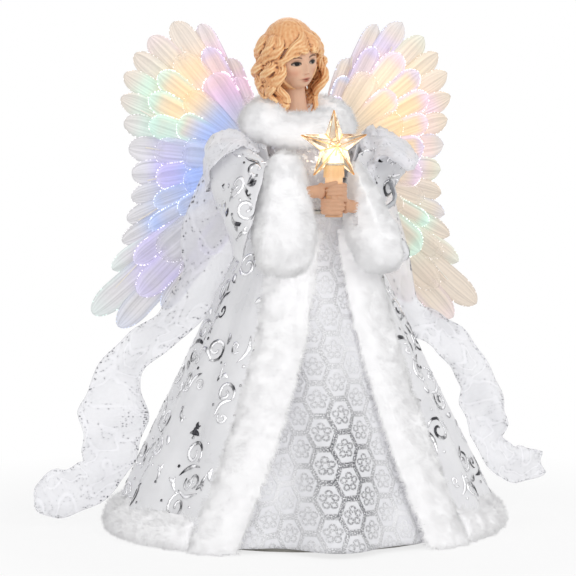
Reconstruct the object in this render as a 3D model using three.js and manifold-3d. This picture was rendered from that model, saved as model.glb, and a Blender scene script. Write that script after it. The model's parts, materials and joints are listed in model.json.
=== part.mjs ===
// Angel tree topper: a doll in a fur-trimmed robe over a stiff cone, with lit wings and a star lamp.
// Millimetres, +Z up. The origin is the middle of the cone's foot, on the surface that it stands on.
// The angel faces -Y, and left means the -X side, which is the viewer's left.
import * as THREE from 'three';
import { mergeVertices } from 'three/addons/utils/BufferGeometryUtils.js';
import Module from 'manifold-3d';

const wasm = await Module();
wasm.setup();

// Fits shared by many pieces
const FIT_GAP = 0.3;
const SOFT_GAP = 0.6;

// Support cone and the tube that slips over the tree's tip
const CONE_BASE_RADIUS = 98;
const CONE_TOP_RADIUS = 22;
const CONE_HEIGHT = 205;
const CONE_WALL = 1.4;
const CONE_RIM_WIDTH = 7;
const CONE_DECK_THICKNESS = 2;
const CONE_LEAD_HOLE_RADIUS = 5;
const SOCKET_RADIUS = 17;
const SOCKET_WALL = 1.5;
const SOCKET_MOUTH_Z = 56;
const SOCKET_FLANGE_WIDTH = 3.4;
const SOCKET_PAD_WIDTH = 20;
const SOCKET_PAD_REACH = 3;

// Battery box on the back of the tube
const CELL_RADIUS = 7.15;
const CELL_LENGTH = 49.2;
const CELL_NUB_RADIUS = 2.7;
const CELL_NUB_LENGTH = 1;
const CELL_SPACING = 0.9;
const CELL_COUNT = 3;
const SPRING_LENGTH = 5.4;
const SPRING_WIRE_RADIUS = 0.45;
const SPRING_END_RADIUS = 4.2;
const SPRING_TURNS = 3;
const CONTACT_THICKNESS = 0.8;
const BOX_WALL = 1.6;
const BOX_BOTTOM_Z = 62;
const COVER_THICKNESS = 1.5;
const BOARD_SIZE = [36, 13, 1.2];
const SWITCH_HOUSING_SIZE = [18, 12, 8];
const SWITCH_SLIDER_SIZE = [6, 4, 8.5];
const SWITCH_TRAVEL = 4;
const SWITCH_POCKET_DEPTH = 5;

// Torso form, bodice and the robe's upper back
const TORSO_HEIGHT = 49;
const TORSO_CHEST_HEIGHT = 28;
const TORSO_WAIST_RADIUS = 17;
const TORSO_CHEST_RADIUS = 24;
const TORSO_NECK_RADIUS = 10.5;
const TORSO_DEPTH_SHARE = 0.75;
const BODICE_THICKNESS = 0.9;
const BODICE_ROWS = 4;
const YOKE_WAIST_EASE = 5;
const YOKE_CHEST_EASE = 3.5;
const YOKE_HEIGHT = 39;
const YOKE_FRONT_ANGLE = 0.9;
const YOKE_SETTLE_SHARE = 0.4;
const YOKE_DEPTH_EASE = 0.03;

// Head
const HEAD_LEAN_X = -5;
const SKULL_SHIFT_X = -4;
const HEAD_TURN = 0.3;
const SKULL_HALF_SIZE = [16.5, 18.5, 23];
const SKULL_ABOVE_NECK = 45.5;
const JAW_HALF_SIZE = [11.5, 13, 14];
const JAW_FORWARD = 4.5;
const NECK_RADIUS = 7.4;
const NECK_BASE_RADIUS = 10;
const NECK_LENGTH = 34;
const HAIR_THICKNESS = 4;
const FACE_OPENING_HALF_SIZE = [12.5, 12, 21];
const FACE_BELOW_SKULL = 6;
const BACK_HAIR = { half: [15, 10, 20], behind: 11, below: 12 };
const TEMPLE_LOCK = { half: [7, 10, 14], out: 15, below: 9 };
const SHOULDER_LOCK = { half: [7, 9, 11], out: 14, below: 23 };

// Fur
const COLLAR_OPENING_HALF_WIDTH = 15.5;
const COLLAR_NECK_SQUEEZE = 0.5;
const COLLAR_FUR_RADIUS = 10.5;
const COLLAR_ABOVE_TORSO = 1.7;
const COLLAR_FRONT_DROP = 3;
const TRIM_WIDTH = 27;
const TRIM_THICKNESS = 9;
const TRIM_EDGE_THICKNESS = 3;
const TRIM_TOP_BELOW_WAIST = 8;
const HEM_TRIM_HEIGHT = 22;
const HEM_TRIM_THICKNESS = 10;
const CUFF_WALL = 11.5;

// Skirt and robe
const WAIST_BELOW_DECK = 1;
const SKIRT_HEM_Z = 1;
const SKIRT_HEM_EASE = 15;
const SKIRT_WAIST_EASE = 8;
const SKIRT_CLOTH = 1;
const SKIRT_FOLDS = 12;
const SKIRT_FOLD_DEPTH = 3;
const SKIRT_FRONT_RIDGE = 6;
const SKIRT_RIDGE_ANGLE = -0.09;
const SKIRT_RIDGE_SPREAD = 0.26;
const ROBE_CLOTH = 1;
const ROBE_TOP_BELOW_WAIST = 4;
const ROBE_EASE = 1.4;
const ROBE_FLARE = 6.5;
const ROBE_FOLDS = 14;
const ROBE_FOLD_DEPTH = 7;
const ROBE_SEAM_ANGLE = 1.85;
const OPENING_LEFT_HEM_X = -69;
const OPENING_LEFT_TOP_X = 1;
const OPENING_RIGHT_HEM_X = 50;
const OPENING_RIGHT_TOP_X = 11;

// Star lamp in the hands
const LAMP_X = 1;
const LAMP_Y = -64;
const STEM_RADIUS = 5.5;
const STEM_BORE_RADIUS = 4;
const STEM_BELOW_DECK = 0.5;
const STEM_LENGTH = 32;
const STAR_RADIUS = 24;
const STAR_NOTCH_RADIUS = 9.5;
const STAR_HALF_DEPTH = 8;
const STAR_ABOVE_STEM = 12;
const STAR_NECK_WALL = 1.8;
const STAR_NECK_LENGTH = 13;
const BULB_RADIUS = 3.2;
const BULB_LENGTH = 11;
const HOLDER_LENGTH = 8;
const HOLDER_FLANGE = 1.2;

// Arms: the left hand is the upper one
const HAND_ABOVE_STEM_FOOT = 18;
const HAND_HALF_SIZE = [10.5, 9, 5.2];
const HAND_SHIFT = 2.5;
const WRIST_RADIUS = 3.4;
const WRIST_DROOP = 3;
const WRIST_INSIDE_CUFF = 2;
const ARM_WIRE_RADIUS = 1.5;
const SLEEVE_CLOTH = 1;
const SLEEVE_COLUMNS = 14;
const SLEEVE_ROWS = 8;
const LEFT_ELBOW_X = 54;
const RIGHT_ELBOW_X = 49;
const SHOULDER_ABOVE_DECK = 28;
const SHOULDER_HALF_SIZE = [10, 10];
const ARM_Y = 2;
const ARM_WIRE_ROOT_X = 12;
const LEFT_CUFF = { place: [-30, -55], drop: 26, facing: [0.96, -0.28, 0], half: [39, 21, 18] };
const RIGHT_CUFF = { place: [31, -55], drop: 29, facing: [-0.9, -0.43, 0], half: [35, 20, 15] };
const SLEEVE_PUFF = [
  { inward: 6, forward: 4, rise: 5, facing: [0.85, -0.5, -0.15], half: [17, 16] },
  { inward: 0, forward: 22, rise: -7, facing: [0.2, -0.9, -0.4], half: [22, 15] },
  { inward: 1, forward: 40, rise: -20, facing: [-0.55, -0.8, -0.2], half: [26, 14] },
];
const SLEEVE_END_INSET = 7;
const SLEEVE_END_HALF_WIDTH = 13;
const CUFF_BOTTOM_FORWARD = 0.25;

// Scarf of sheer ribbon: two tails that reach equally far, and a puff over the right shoulder
const LEFT_TAIL_WIDTH = 38;
const RIGHT_TAIL_WIDTH = 30;
const SCARF_TOP_WIDTH = 22;
const SCARF_CLOTH = 0.8;
const SCARF_REACH = 172;
const SCARF_CURL = 3;
const SCARF_CURLS = 4;
const PUFF_STANDOFF = 2.4;
const PUFF_TURN_SPAN = [0.36, 0.88];
const PUFF_ALONG_SPAN = [0.14, 0.7];
const LEFT_TAIL = [[-56, 26, 190], [-67, 35, 150], [-84, 32, 126], [-104, 29, 115], [-121, 26, 92],
  [-124, 28, 62], [-133, 33, 38], [-150, 38, 25]];
const LEFT_TAIL_END = { y: 40, z: 23 };
const RIGHT_TAIL = [[60, 24, 185], [77, 24, 141], [104, 20, 126], [125, 18, 96], [133, 16, 62],
  [133, 16, 45], [150, 19, 30]];
const RIGHT_TAIL_END = { y: 20, z: 25 };

// Wings
const HINGE_X = 15;
const HINGE_BEHIND_PLATE = 7.2;
const WING_ROOT_ABOVE_DECK = 30;
const WING_SWEEP = 0.175;
const PIN_RADIUS = 1.5;
const PIN_END = 1;
const PIN_HEAD_RADIUS = 2.6;
const PIN_HEAD_LENGTH = 1.2;
const KNUCKLE_RADIUS = 4;
const KNUCKLE_LENGTH = 11.4;
const LUG_LENGTH = 6;
const BRACKET_PLATE_THICKNESS = 2.4;
const SCREW_RADIUS = 1.4;
const SCREW_HEAD_RADIUS = 3;
const SCREW_HEAD_LENGTH = 2;
const SCREW_LENGTH = 15;
const SCREW_SPACING = 12;
const WING_ARM_LENGTH = 18;
const WING_ARM_HALF_DEPTH = 3.2;
const WING_LED_RADIUS = 2;
const WING_LED_LENGTH = 5;
const FILM_THICKNESS = 0.8;
const FILM_STEP = 1.2;
const FIBRE_RADIUS = 0.5;
const FIBRE_BUNDLE_RADIUS = 2;
const FIBRE_BUNDLE_LENGTH = 14;
const FEATHERS = 17;
const FEATHER_FIRST_ANGLE = 0.39;
const FEATHER_LAST_ANGLE = 2.52;
const FEATHER_LENGTHS = [90, 115, 119, 110, 99, 98, 114, 158, 140];
const FEATHER_HALF_WIDTH = 8;
const FEATHER_NOTCH = 14;
const FILM_ROOT_HALF_HEIGHT = 8;
const MIDDLE_FILM_REACH = 0.82;
const INNER_FILM_REACH = 0.62;

// Heights and sizes that follow from the support cone and the torso on it
const WAIST_Z = CONE_HEIGHT - WAIST_BELOW_DECK;
const ROBE_TOP_Z = WAIST_Z - ROBE_TOP_BELOW_WAIST;
const TORSO_BOTTOM = CONE_HEIGHT + FIT_GAP;
const TORSO_TOP = TORSO_BOTTOM + TORSO_HEIGHT;
const SHOULDER_Z = CONE_HEIGHT + SHOULDER_ABOVE_DECK;
const WING_ROOT_Z = CONE_HEIGHT + WING_ROOT_ABOVE_DECK;
const STEM_BOTTOM_Z = CONE_HEIGHT - STEM_BELOW_DECK;
const LEFT_HAND_Z = STEM_BOTTOM_Z + HAND_ABOVE_STEM_FOOT;
const RIGHT_HAND_Z = LEFT_HAND_Z - 2 * HAND_HALF_SIZE[2] - SOFT_GAP;
const SKIRT_HEM_RADIUS = CONE_BASE_RADIUS + SKIRT_HEM_EASE;
const SKIRT_WAIST_RADIUS = CONE_TOP_RADIUS + SKIRT_WAIST_EASE;
const YOKE_BOTTOM_RADIUS = SKIRT_WAIST_RADIUS + YOKE_WAIST_EASE;
const YOKE_TOP_RADIUS = TORSO_CHEST_RADIUS + YOKE_CHEST_EASE;

const vec = (point) => new THREE.Vector3(...point);
const lerp = THREE.MathUtils.lerp;
const TURN = 2 * Math.PI;

// Materials, with the colours of the object
function finish(color, roughness, metalness = 0) {
  return new THREE.MeshStandardMaterial({ color, roughness, metalness });
}
const FUR = [0xf5f4f4, 0.95];
const SATIN = [0xdfdfe3, 0.4];
const SHEER = [0xe4e4e6, 0.5];
const FILM = [0xdcd8dc, 0.35];
const SKIN = [0xd7a07d, 0.55];
const STEEL = [0xb9bcc0, 0.35, 0.9];
const CARD = [0xe9e6df, 0.9];
const WHITE_PLASTIC = [0xf0f0ee, 0.45];

const topper = new THREE.Group();

function addPart(name, geometry, look, group = topper) {
  const mesh = new THREE.Mesh(geometry, finish(...look));
  mesh.name = name;
  group.add(mesh);
  return mesh;
}

// A geometry with its shared corners merged, as a solid that can be joined and cut
function solidOf(geometry) {
  const bare = new THREE.BufferGeometry();
  bare.setAttribute('position', geometry.getAttribute('position'));
  bare.setIndex(geometry.index);
  const merged = mergeVertices(bare, 1e-4);
  const corners = merged.index.array;
  const kept = [];
  for (let i = 0; i < corners.length; i += 3) {
    const [a, b, c] = corners.slice(i, i + 3);
    if (a !== b && b !== c && c !== a) kept.push(a, b, c);
  }
  const vertProperties = new Float32Array(merged.getAttribute('position').array);
  const mesh = new wasm.Mesh({ numProp: 3, vertProperties, triVerts: new Uint32Array(kept) });
  return new wasm.Manifold(mesh);
}

function geometryOf(solid) {
  const { vertProperties, triVerts } = solid.getMesh();
  const geometry = new THREE.BufferGeometry();
  geometry.setAttribute('position', new THREE.BufferAttribute(vertProperties, 3));
  geometry.setIndex(new THREE.BufferAttribute(triVerts, 1));
  return geometry;
}

const join = (...geometries) => geometries.map(solidOf).reduce((whole, next) => whole.add(next));
const cut = (solid, ...geometries) => geometries.map(solidOf)
  .reduce((left, next) => left.subtract(next), solid);

function boxAt(size, centre) {
  return new THREE.BoxGeometry(...size).translate(...centre);
}

function ballAt(half, centre, columns = 12, rows = 8) {
  return new THREE.SphereGeometry(1, columns, rows).scale(...half).translate(...centre);
}

// A turned piece about a vertical line; the profile is [radius, height] pairs
function turned(profile, segments = 18, x = 0, y = 0) {
  const points = profile.map(([radius, z]) => new THREE.Vector2(radius, z));
  return new THREE.LatheGeometry(points, segments).rotateX(Math.PI / 2).translate(x, y, 0);
}

function cylinderBetween(start, end, radius, sides = 12) {
  const from = vec(start);
  const along = vec(end).sub(from);
  const geometry = new THREE.CylinderGeometry(radius, radius, along.length(), sides);
  const axis = along.clone().normalize();
  const turn = new THREE.Quaternion().setFromUnitVectors(new THREE.Vector3(0, 1, 0), axis);
  return geometry.applyQuaternion(turn).translate(...from.addScaledVector(along, 0.5).toArray());
}

// A wire of round section along a curve
function wire(curve, radius, sides, steps) {
  const section = new THREE.Shape().absarc(0, 0, radius, 0, TURN, false);
  return new THREE.ExtrudeGeometry(section, { steps, curveSegments: sides / 2, extrudePath: curve });
}

// A closed solid between two faces given as functions of (across, along), each from 0 to 1.
// A ring joins its last column to its first.
function sheetSolid(outer, inner, columns, rows, ring) {
  const across = ring ? columns : columns + 1;
  const positions = [];
  for (const face of [outer, inner]) {
    for (let row = 0; row <= rows; row++) {
      for (let column = 0; column < across; column++) {
        positions.push(...face(column / columns, row / rows).toArray());
      }
    }
  }
  const at = (side, row, column) => (side * (rows + 1) + row) * across + (column % across);
  const index = [];
  const quad = (a, b, c, d) => index.push(a, b, c, a, c, d);
  for (let row = 0; row < rows; row++) {
    for (let column = 0; column < columns; column++) {
      quad(at(0, row, column), at(0, row, column + 1), at(0, row + 1, column + 1), at(0, row + 1, column));
      quad(at(1, row, column), at(1, row + 1, column), at(1, row + 1, column + 1), at(1, row, column + 1));
    }
  }
  for (let column = 0; column < columns; column++) {
    quad(at(0, 0, column), at(1, 0, column), at(1, 0, column + 1), at(0, 0, column + 1));
    quad(at(0, rows, column), at(0, rows, column + 1), at(1, rows, column + 1), at(1, rows, column));
  }
  if (!ring) {
    for (let row = 0; row < rows; row++) {
      quad(at(0, row, 0), at(0, row + 1, 0), at(1, row + 1, 0), at(1, row, 0));
      quad(at(0, row, columns), at(1, row, columns), at(1, row + 1, columns), at(0, row + 1, columns));
    }
  }
  return facingOut(positions, index);
}

// The faces turned over where they would enclose a negative volume
function facingOut(positions, index) {
  const corner = (i) => new THREE.Vector3().fromArray(positions, 3 * index[i]);
  let volume = 0;
  for (let i = 0; i < index.length; i += 3) {
    volume += corner(i).dot(corner(i + 1).cross(corner(i + 2)));
  }
  if (volume < 0) index.reverse();
  const geometry = new THREE.BufferGeometry();
  geometry.setAttribute('position', new THREE.Float32BufferAttribute(positions, 3));
  geometry.setIndex(index);
  return geometry;
}

// A point on the garment: the angle runs from the front towards +X
function around(angle, radius, z, depthShare = 1) {
  return new THREE.Vector3(radius * Math.sin(angle), -radius * depthShare * Math.cos(angle), z);
}

// A rounded section: 1 in the middle of a band and less towards both edges
const bulge = (share) => Math.sqrt(1 - (2 * share - 1) ** 2);

// Support cone: a stiff shell with a turned-in foot and a small deck
function addSupport() {
  const innerTop = CONE_HEIGHT - CONE_DECK_THICKNESS;
  const slope = (CONE_BASE_RADIUS - CONE_TOP_RADIUS) / CONE_HEIGHT;
  const innerRadius = (z) => CONE_BASE_RADIUS - slope * z - CONE_WALL;
  const cone = turned([
    [CONE_BASE_RADIUS - CONE_RIM_WIDTH, 0],
    [CONE_BASE_RADIUS, 0],
    [CONE_TOP_RADIUS, CONE_HEIGHT],
    [CONE_LEAD_HOLE_RADIUS, CONE_HEIGHT],
    [CONE_LEAD_HOLE_RADIUS, innerTop],
    [innerRadius(innerTop), innerTop],
    [innerRadius(CONE_WALL), CONE_WALL],
    [CONE_BASE_RADIUS - CONE_RIM_WIDTH, CONE_WALL],
    [CONE_BASE_RADIUS - CONE_RIM_WIDTH, 0],
  ], 36);
  addPart('support_cone', cone, CARD);

  const top = innerTop - FIT_GAP;
  const bore = SOCKET_RADIUS - SOCKET_WALL;
  const tube = turned([
    [0, top],
    [0, top - SOCKET_WALL],
    [bore, top - SOCKET_WALL],
    [bore, SOCKET_MOUTH_Z],
    [SOCKET_RADIUS, SOCKET_MOUTH_Z],
    [SOCKET_RADIUS, top - SOCKET_WALL],
    [SOCKET_RADIUS + SOCKET_FLANGE_WIDTH, top - SOCKET_WALL],
    [SOCKET_RADIUS + SOCKET_FLANGE_WIDTH, top],
    [0, top],
  ]);
  const padDepth = SOCKET_PAD_REACH + SOCKET_WALL;
  const padSize = [SOCKET_PAD_WIDTH, padDepth, boxHeight()];
  const padY = SOCKET_RADIUS + SOCKET_PAD_REACH - padDepth / 2;
  const pad = boxAt(padSize, [0, padY, BOX_BOTTOM_Z + boxHeight() / 2]);
  const hollow = turned([[0, SOCKET_MOUTH_Z - 1], [bore, SOCKET_MOUTH_Z - 1], [bore, top - SOCKET_WALL],
    [0, top - SOCKET_WALL]]);
  addPart('tree_socket', geometryOf(cut(join(tube, pad), hollow)), CARD);
}

// Battery box sizes follow from the cells
const cellPitch = 2 * CELL_RADIUS + CELL_SPACING;
function boxHeight() {
  return CELL_LENGTH + CELL_NUB_LENGTH + SPRING_LENGTH + CONTACT_THICKNESS + 2 * BOX_WALL + 4 * FIT_GAP;
}

function addBattery() {
  const width = CELL_COUNT * cellPitch + 2 * BOX_WALL + 2 * FIT_GAP;
  const depth = 2 * CELL_RADIUS + BOX_WALL + 3 * FIT_GAP;
  const height = boxHeight();
  const frontY = SOCKET_RADIUS + SOCKET_PAD_REACH + FIT_GAP;
  const middleZ = BOX_BOTTOM_Z + height / 2;
  const insideBottom = BOX_BOTTOM_Z + BOX_WALL;
  const insideTop = BOX_BOTTOM_Z + height - BOX_WALL;

  const hollowSize = [width - 2 * BOX_WALL, depth, height - 2 * BOX_WALL];
  const tray = cut(solidOf(boxAt([width, depth, height], [0, frontY + depth / 2, middleZ])),
    boxAt(hollowSize, [0, frontY + BOX_WALL + depth / 2, middleZ]));
  addPart('battery_box', geometryOf(tray), WHITE_PLASTIC);

  const coverHalf = width / 2 + FIT_GAP;
  const coverBack = depth + FIT_GAP;
  const channel = new THREE.Shape();
  channel.moveTo(-coverHalf - COVER_THICKNESS, depth / 2);
  channel.lineTo(-coverHalf, depth / 2);
  channel.lineTo(-coverHalf, coverBack);
  channel.lineTo(coverHalf, coverBack);
  channel.lineTo(coverHalf, depth / 2);
  channel.lineTo(coverHalf + COVER_THICKNESS, depth / 2);
  channel.lineTo(coverHalf + COVER_THICKNESS, coverBack + COVER_THICKNESS);
  channel.lineTo(-coverHalf - COVER_THICKNESS, coverBack + COVER_THICKNESS);
  const cover = new THREE.ExtrudeGeometry(channel, { depth: height, bevelEnabled: false });
  addPart('battery_cover', cover.translate(0, frontY, BOX_BOTTOM_Z), WHITE_PLASTIC);

  const cellY = frontY + BOX_WALL + FIT_GAP + CELL_RADIUS;
  const springBottom = insideBottom + FIT_GAP;
  const cellBottom = springBottom + SPRING_LENGTH + FIT_GAP;
  const cellTop = cellBottom + CELL_LENGTH;
  for (let i = 0; i < CELL_COUNT; i++) {
    const x = (i - (CELL_COUNT - 1) / 2) * cellPitch;
    const cell = turned([[0, cellBottom], [CELL_RADIUS, cellBottom], [CELL_RADIUS, cellTop],
      [CELL_NUB_RADIUS, cellTop], [CELL_NUB_RADIUS, cellTop + CELL_NUB_LENGTH],
      [0, cellTop + CELL_NUB_LENGTH]], 12, x, cellY);
    addPart(`cell_${i + 1}`, cell, [0x3b4a63, 0.4, 0.3]);
    addPart(`contact_spring_${i + 1}`, contactSpring(x, cellY, springBottom), STEEL);
  }
  const stripSize = [CELL_COUNT * cellPitch - 2, 2 * CELL_RADIUS - 4, CONTACT_THICKNESS];
  const stripZ = insideTop - FIT_GAP - CONTACT_THICKNESS / 2;
  addPart('contact_strip', boxAt(stripSize, [0, cellY, stripZ]), STEEL);

  const boardZ = BOX_BOTTOM_Z + height + FIT_GAP + BOARD_SIZE[2] / 2;
  addPart('circuit_board', boxAt(BOARD_SIZE, [0, cellY, boardZ]), [0x2c6b45, 0.6]);
  addSwitch(cellY);
}

// A conical coil that presses on the flat end of a cell
function contactSpring(x, y, bottom) {
  const steps = SPRING_TURNS * 8;
  const points = [];
  for (let i = 0; i <= steps; i++) {
    const share = i / steps;
    const radius = lerp(SPRING_END_RADIUS, SPRING_END_RADIUS / 2, share);
    const z = lerp(SPRING_WIRE_RADIUS, SPRING_LENGTH - SPRING_WIRE_RADIUS, share);
    const angle = TURN * SPRING_TURNS * share;
    points.push(new THREE.Vector3(x + radius * Math.cos(angle), y + radius * Math.sin(angle), bottom + z));
  }
  return wire(new THREE.CatmullRomCurve3(points), SPRING_WIRE_RADIUS, 4, steps);
}

// Slide switch under the battery box, within reach from the open foot of the cone
function addSwitch(y) {
  const [housingX, housingY, housingZ] = SWITCH_HOUSING_SIZE;
  const [sliderX, sliderY, sliderZ] = SWITCH_SLIDER_SIZE;
  const top = BOX_BOTTOM_Z - FIT_GAP;
  const bottom = top - housingZ;
  const pocketSize = [sliderX + SWITCH_TRAVEL + 2 * FIT_GAP, sliderY + 2 * FIT_GAP, 2 * SWITCH_POCKET_DEPTH];
  const housing = cut(solidOf(boxAt(SWITCH_HOUSING_SIZE, [0, y, bottom + housingZ / 2])),
    boxAt(pocketSize, [0, y, bottom]));
  addPart('switch_housing', geometryOf(housing), [0x33353a, 0.5]);
  const sliderTop = bottom + SWITCH_POCKET_DEPTH - FIT_GAP;
  const slider = boxAt(SWITCH_SLIDER_SIZE, [-SWITCH_TRAVEL / 2, y, sliderTop - sliderZ / 2]);
  addPart('switch_slider', slider, [0x1f2023, 0.5]);
}

// Torso form: [radius, height above the deck]
const TORSO_PROFILE = [
  [TORSO_WAIST_RADIUS, 0],
  [TORSO_WAIST_RADIUS - 1, 6],
  [TORSO_CHEST_RADIUS - 3, TORSO_CHEST_HEIGHT - 8],
  [TORSO_CHEST_RADIUS, TORSO_CHEST_HEIGHT],
  [TORSO_CHEST_RADIUS - 2, TORSO_CHEST_HEIGHT + 6],
  [TORSO_NECK_RADIUS + 3, TORSO_HEIGHT - 8],
  [TORSO_NECK_RADIUS, TORSO_HEIGHT],
];

// The robe's upper back: round over the waist, flatter over the shoulder blades
const YOKE_BOTTOM_Z = ROBE_TOP_Z + SOFT_GAP;
function yokePoint(angle, share, offset) {
  const settle = Math.min(1, share / YOKE_SETTLE_SHARE);
  const radius = lerp(YOKE_BOTTOM_RADIUS, YOKE_TOP_RADIUS, share ** 0.7) + offset;
  const depthShare = lerp(1, TORSO_DEPTH_SHARE + YOKE_DEPTH_EASE, settle);
  return around(angle, radius, YOKE_BOTTOM_Z + share * YOKE_HEIGHT, depthShare);
}

const BRACKET_BOTTOM_Z = WING_ROOT_Z - KNUCKLE_LENGTH / 2 - FIT_GAP - LUG_LENGTH;
const BRACKET_TOP_Z = WING_ROOT_Z + KNUCKLE_LENGTH / 2 + FIT_GAP + LUG_LENGTH;
const BRACKET_FOOT_SHARE = (BRACKET_BOTTOM_Z - YOKE_BOTTOM_Z) / YOKE_HEIGHT;
const PLATE_FRONT_Y = yokePoint(Math.PI, BRACKET_FOOT_SHARE, ROBE_CLOTH).y + FIT_GAP;
const PLATE_BACK_Y = PLATE_FRONT_Y + BRACKET_PLATE_THICKNESS;
const HINGE_Y = PLATE_BACK_Y + HINGE_BEHIND_PLATE;
const SCREW_HEIGHTS = [WING_ROOT_Z - SCREW_SPACING / 2, WING_ROOT_Z + SCREW_SPACING / 2];

// Holes through the robe, bodice and torso, for the bracket's screws and the arm wires
function bodyHoles() {
  const screwHole = SCREW_RADIUS + FIT_GAP;
  const screws = SCREW_HEIGHTS.map((z) => cylinderBetween([0, 0, z], [0, HINGE_Y, z], screwHole, 8));
  const root = ARM_WIRE_ROOT_X - FIT_GAP;
  const reach = YOKE_BOTTOM_RADIUS + SOFT_GAP;
  const arms = [-1, 1].map((side) => cylinderBetween([side * root, ARM_Y, SHOULDER_Z],
    [side * reach, ARM_Y, SHOULDER_Z], ARM_WIRE_RADIUS + FIT_GAP, 8));
  return [...screws, ...arms];
}

function addTorso() {
  const profile = TORSO_PROFILE.map(([radius, z]) => [radius, TORSO_BOTTOM + z]);
  const form = turned([[0, TORSO_BOTTOM], ...profile, [0, TORSO_TOP]], 18).scale(1, TORSO_DEPTH_SHARE, 1);
  addPart('torso', geometryOf(cut(solidOf(form), ...bodyHoles())), WHITE_PLASTIC);

  const bodiceFace = (offset) => (u, v) => {
    const [radius, height] = TORSO_PROFILE[Math.round(v * BODICE_ROWS)];
    const z = TORSO_BOTTOM + Math.max(height, SOFT_GAP);
    return around(TURN * u, radius + offset, z, TORSO_DEPTH_SHARE);
  };
  const bodiceInside = 2 * SOFT_GAP;
  const bodice = sheetSolid(bodiceFace(bodiceInside + BODICE_THICKNESS), bodiceFace(bodiceInside), 18,
    BODICE_ROWS, true);
  addPart('bodice', geometryOf(cut(solidOf(bodice), ...bodyHoles())), [0xd2cfcf, 0.6]);

  const yokeAngle = (u) => lerp(YOKE_FRONT_ANGLE, TURN - YOKE_FRONT_ANGLE, u);
  const yokeFace = (offset) => (u, v) => yokePoint(yokeAngle(u), v, offset);
  const yoke = sheetSolid(yokeFace(ROBE_CLOTH), yokeFace(0), 14, 4, false);
  addPart('robe_yoke', geometryOf(cut(solidOf(yoke), ...bodyHoles())), SATIN);
}

// Head: face, neck and neck foot in one casting, with a cap of moulded hair bonded on
function addHead() {
  const foot = TORSO_TOP + FIT_GAP;
  const neck = turned([[0, foot], [NECK_BASE_RADIUS, foot], [NECK_BASE_RADIUS, foot + 1.5],
    [NECK_RADIUS + 0.8, foot + 7], [NECK_RADIUS, foot + 14], [NECK_RADIUS, foot + NECK_LENGTH],
    [0, foot + NECK_LENGTH]], 18);
  const skullZ = foot + SKULL_ABOVE_NECK;
  const jawZ = skullZ - SKULL_HALF_SIZE[2] / 2;
  const skull = ballAt(SKULL_HALF_SIZE, [SKULL_SHIFT_X, 0, skullZ]);
  const jaw = ballAt(JAW_HALF_SIZE, [SKULL_SHIFT_X, -JAW_FORWARD, jawZ]);
  const head = new THREE.Group();
  head.position.set(HEAD_LEAN_X, 0, 0);
  head.rotation.z = HEAD_TURN;
  topper.add(head);
  addPart('head', geometryOf(join(neck, skull, jaw)), SKIN, head);

  const clearOfHead = [
    ballAt(SKULL_HALF_SIZE.map((half) => half + FIT_GAP), [SKULL_SHIFT_X, 0, skullZ]),
    ballAt(JAW_HALF_SIZE.map((half) => half + FIT_GAP), [SKULL_SHIFT_X, -JAW_FORWARD, jawZ]),
    turned([[0, foot], [NECK_RADIUS + 1.5, foot], [NECK_RADIUS + 1.5, jawZ], [0, jawZ]], 18),
  ];
  const faceCentre = [SKULL_SHIFT_X, -SKULL_HALF_SIZE[1], skullZ - FACE_BELOW_SKULL];
  const face = ballAt(FACE_OPENING_HALF_SIZE, faceCentre);
  const cap = SKULL_HALF_SIZE.map((half) => half + HAIR_THICKNESS);
  const locks = [
    ballAt(cap, [SKULL_SHIFT_X, 1, skullZ + 1]),
    ballAt(BACK_HAIR.half, [SKULL_SHIFT_X, BACK_HAIR.behind, skullZ - BACK_HAIR.below]),
  ];
  for (const side of [-1, 1]) {
    for (const { half, out, below } of [TEMPLE_LOCK, SHOULDER_LOCK]) {
      locks.push(ballAt(half, [SKULL_SHIFT_X + side * out, -1, skullZ - below], 8, 6));
    }
  }
  addPart('hair', geometryOf(cut(join(...locks), ...clearOfHead, face)), [0xc98d5f, 0.55], head);
}

// Fur collar: a soft ring round the neck, lower in front
function addCollar() {
  const columns = 24;
  const sides = 8;
  const halfWidth = COLLAR_OPENING_HALF_WIDTH + COLLAR_FUR_RADIUS;
  const halfDepth = NECK_BASE_RADIUS - COLLAR_NECK_SQUEEZE + COLLAR_FUR_RADIUS;
  const positions = [];
  const index = [];
  const at = (column, side) => (column % columns) * sides + (side % sides);
  for (let column = 0; column < columns; column++) {
    const angle = (TURN * column) / columns;
    for (let side = 0; side < sides; side++) {
      const out = COLLAR_FUR_RADIUS * Math.cos((TURN * side) / sides);
      const up = COLLAR_FUR_RADIUS * Math.sin((TURN * side) / sides);
      const z = TORSO_TOP + COLLAR_ABOVE_TORSO - COLLAR_FRONT_DROP * Math.cos(angle) + up;
      const x = HEAD_LEAN_X + (halfWidth + out) * Math.sin(angle);
      positions.push(x, -(halfDepth + out) * Math.cos(angle), z);
      const [a, b] = [at(column, side), at(column + 1, side)];
      const [c, d] = [at(column + 1, side + 1), at(column, side + 1)];
      index.push(a, b, c, a, c, d);
    }
  }
  addPart('fur_collar', facingOut(positions, index), FUR);
}

// Skirt: 1 at the hem and 0 at the waist
const hemShare = (z) => (WAIST_Z - z) / (WAIST_Z - SKIRT_HEM_Z);
const skirtRadius = (z) => lerp(SKIRT_WAIST_RADIUS, SKIRT_HEM_RADIUS, hemShare(z));
const skirtEnvelope = (z) => skirtRadius(z) + SKIRT_FOLD_DEPTH * hemShare(z);

function skirtFold(angle, z) {
  const fromRidge = (angle - SKIRT_RIDGE_ANGLE) / SKIRT_RIDGE_SPREAD;
  const ridge = SKIRT_FRONT_RIDGE * Math.exp(-(fromRidge ** 2));
  return hemShare(z) * (SKIRT_FOLD_DEPTH * Math.cos(SKIRT_FOLDS * (angle - SKIRT_RIDGE_ANGLE)) + ridge);
}

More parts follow.
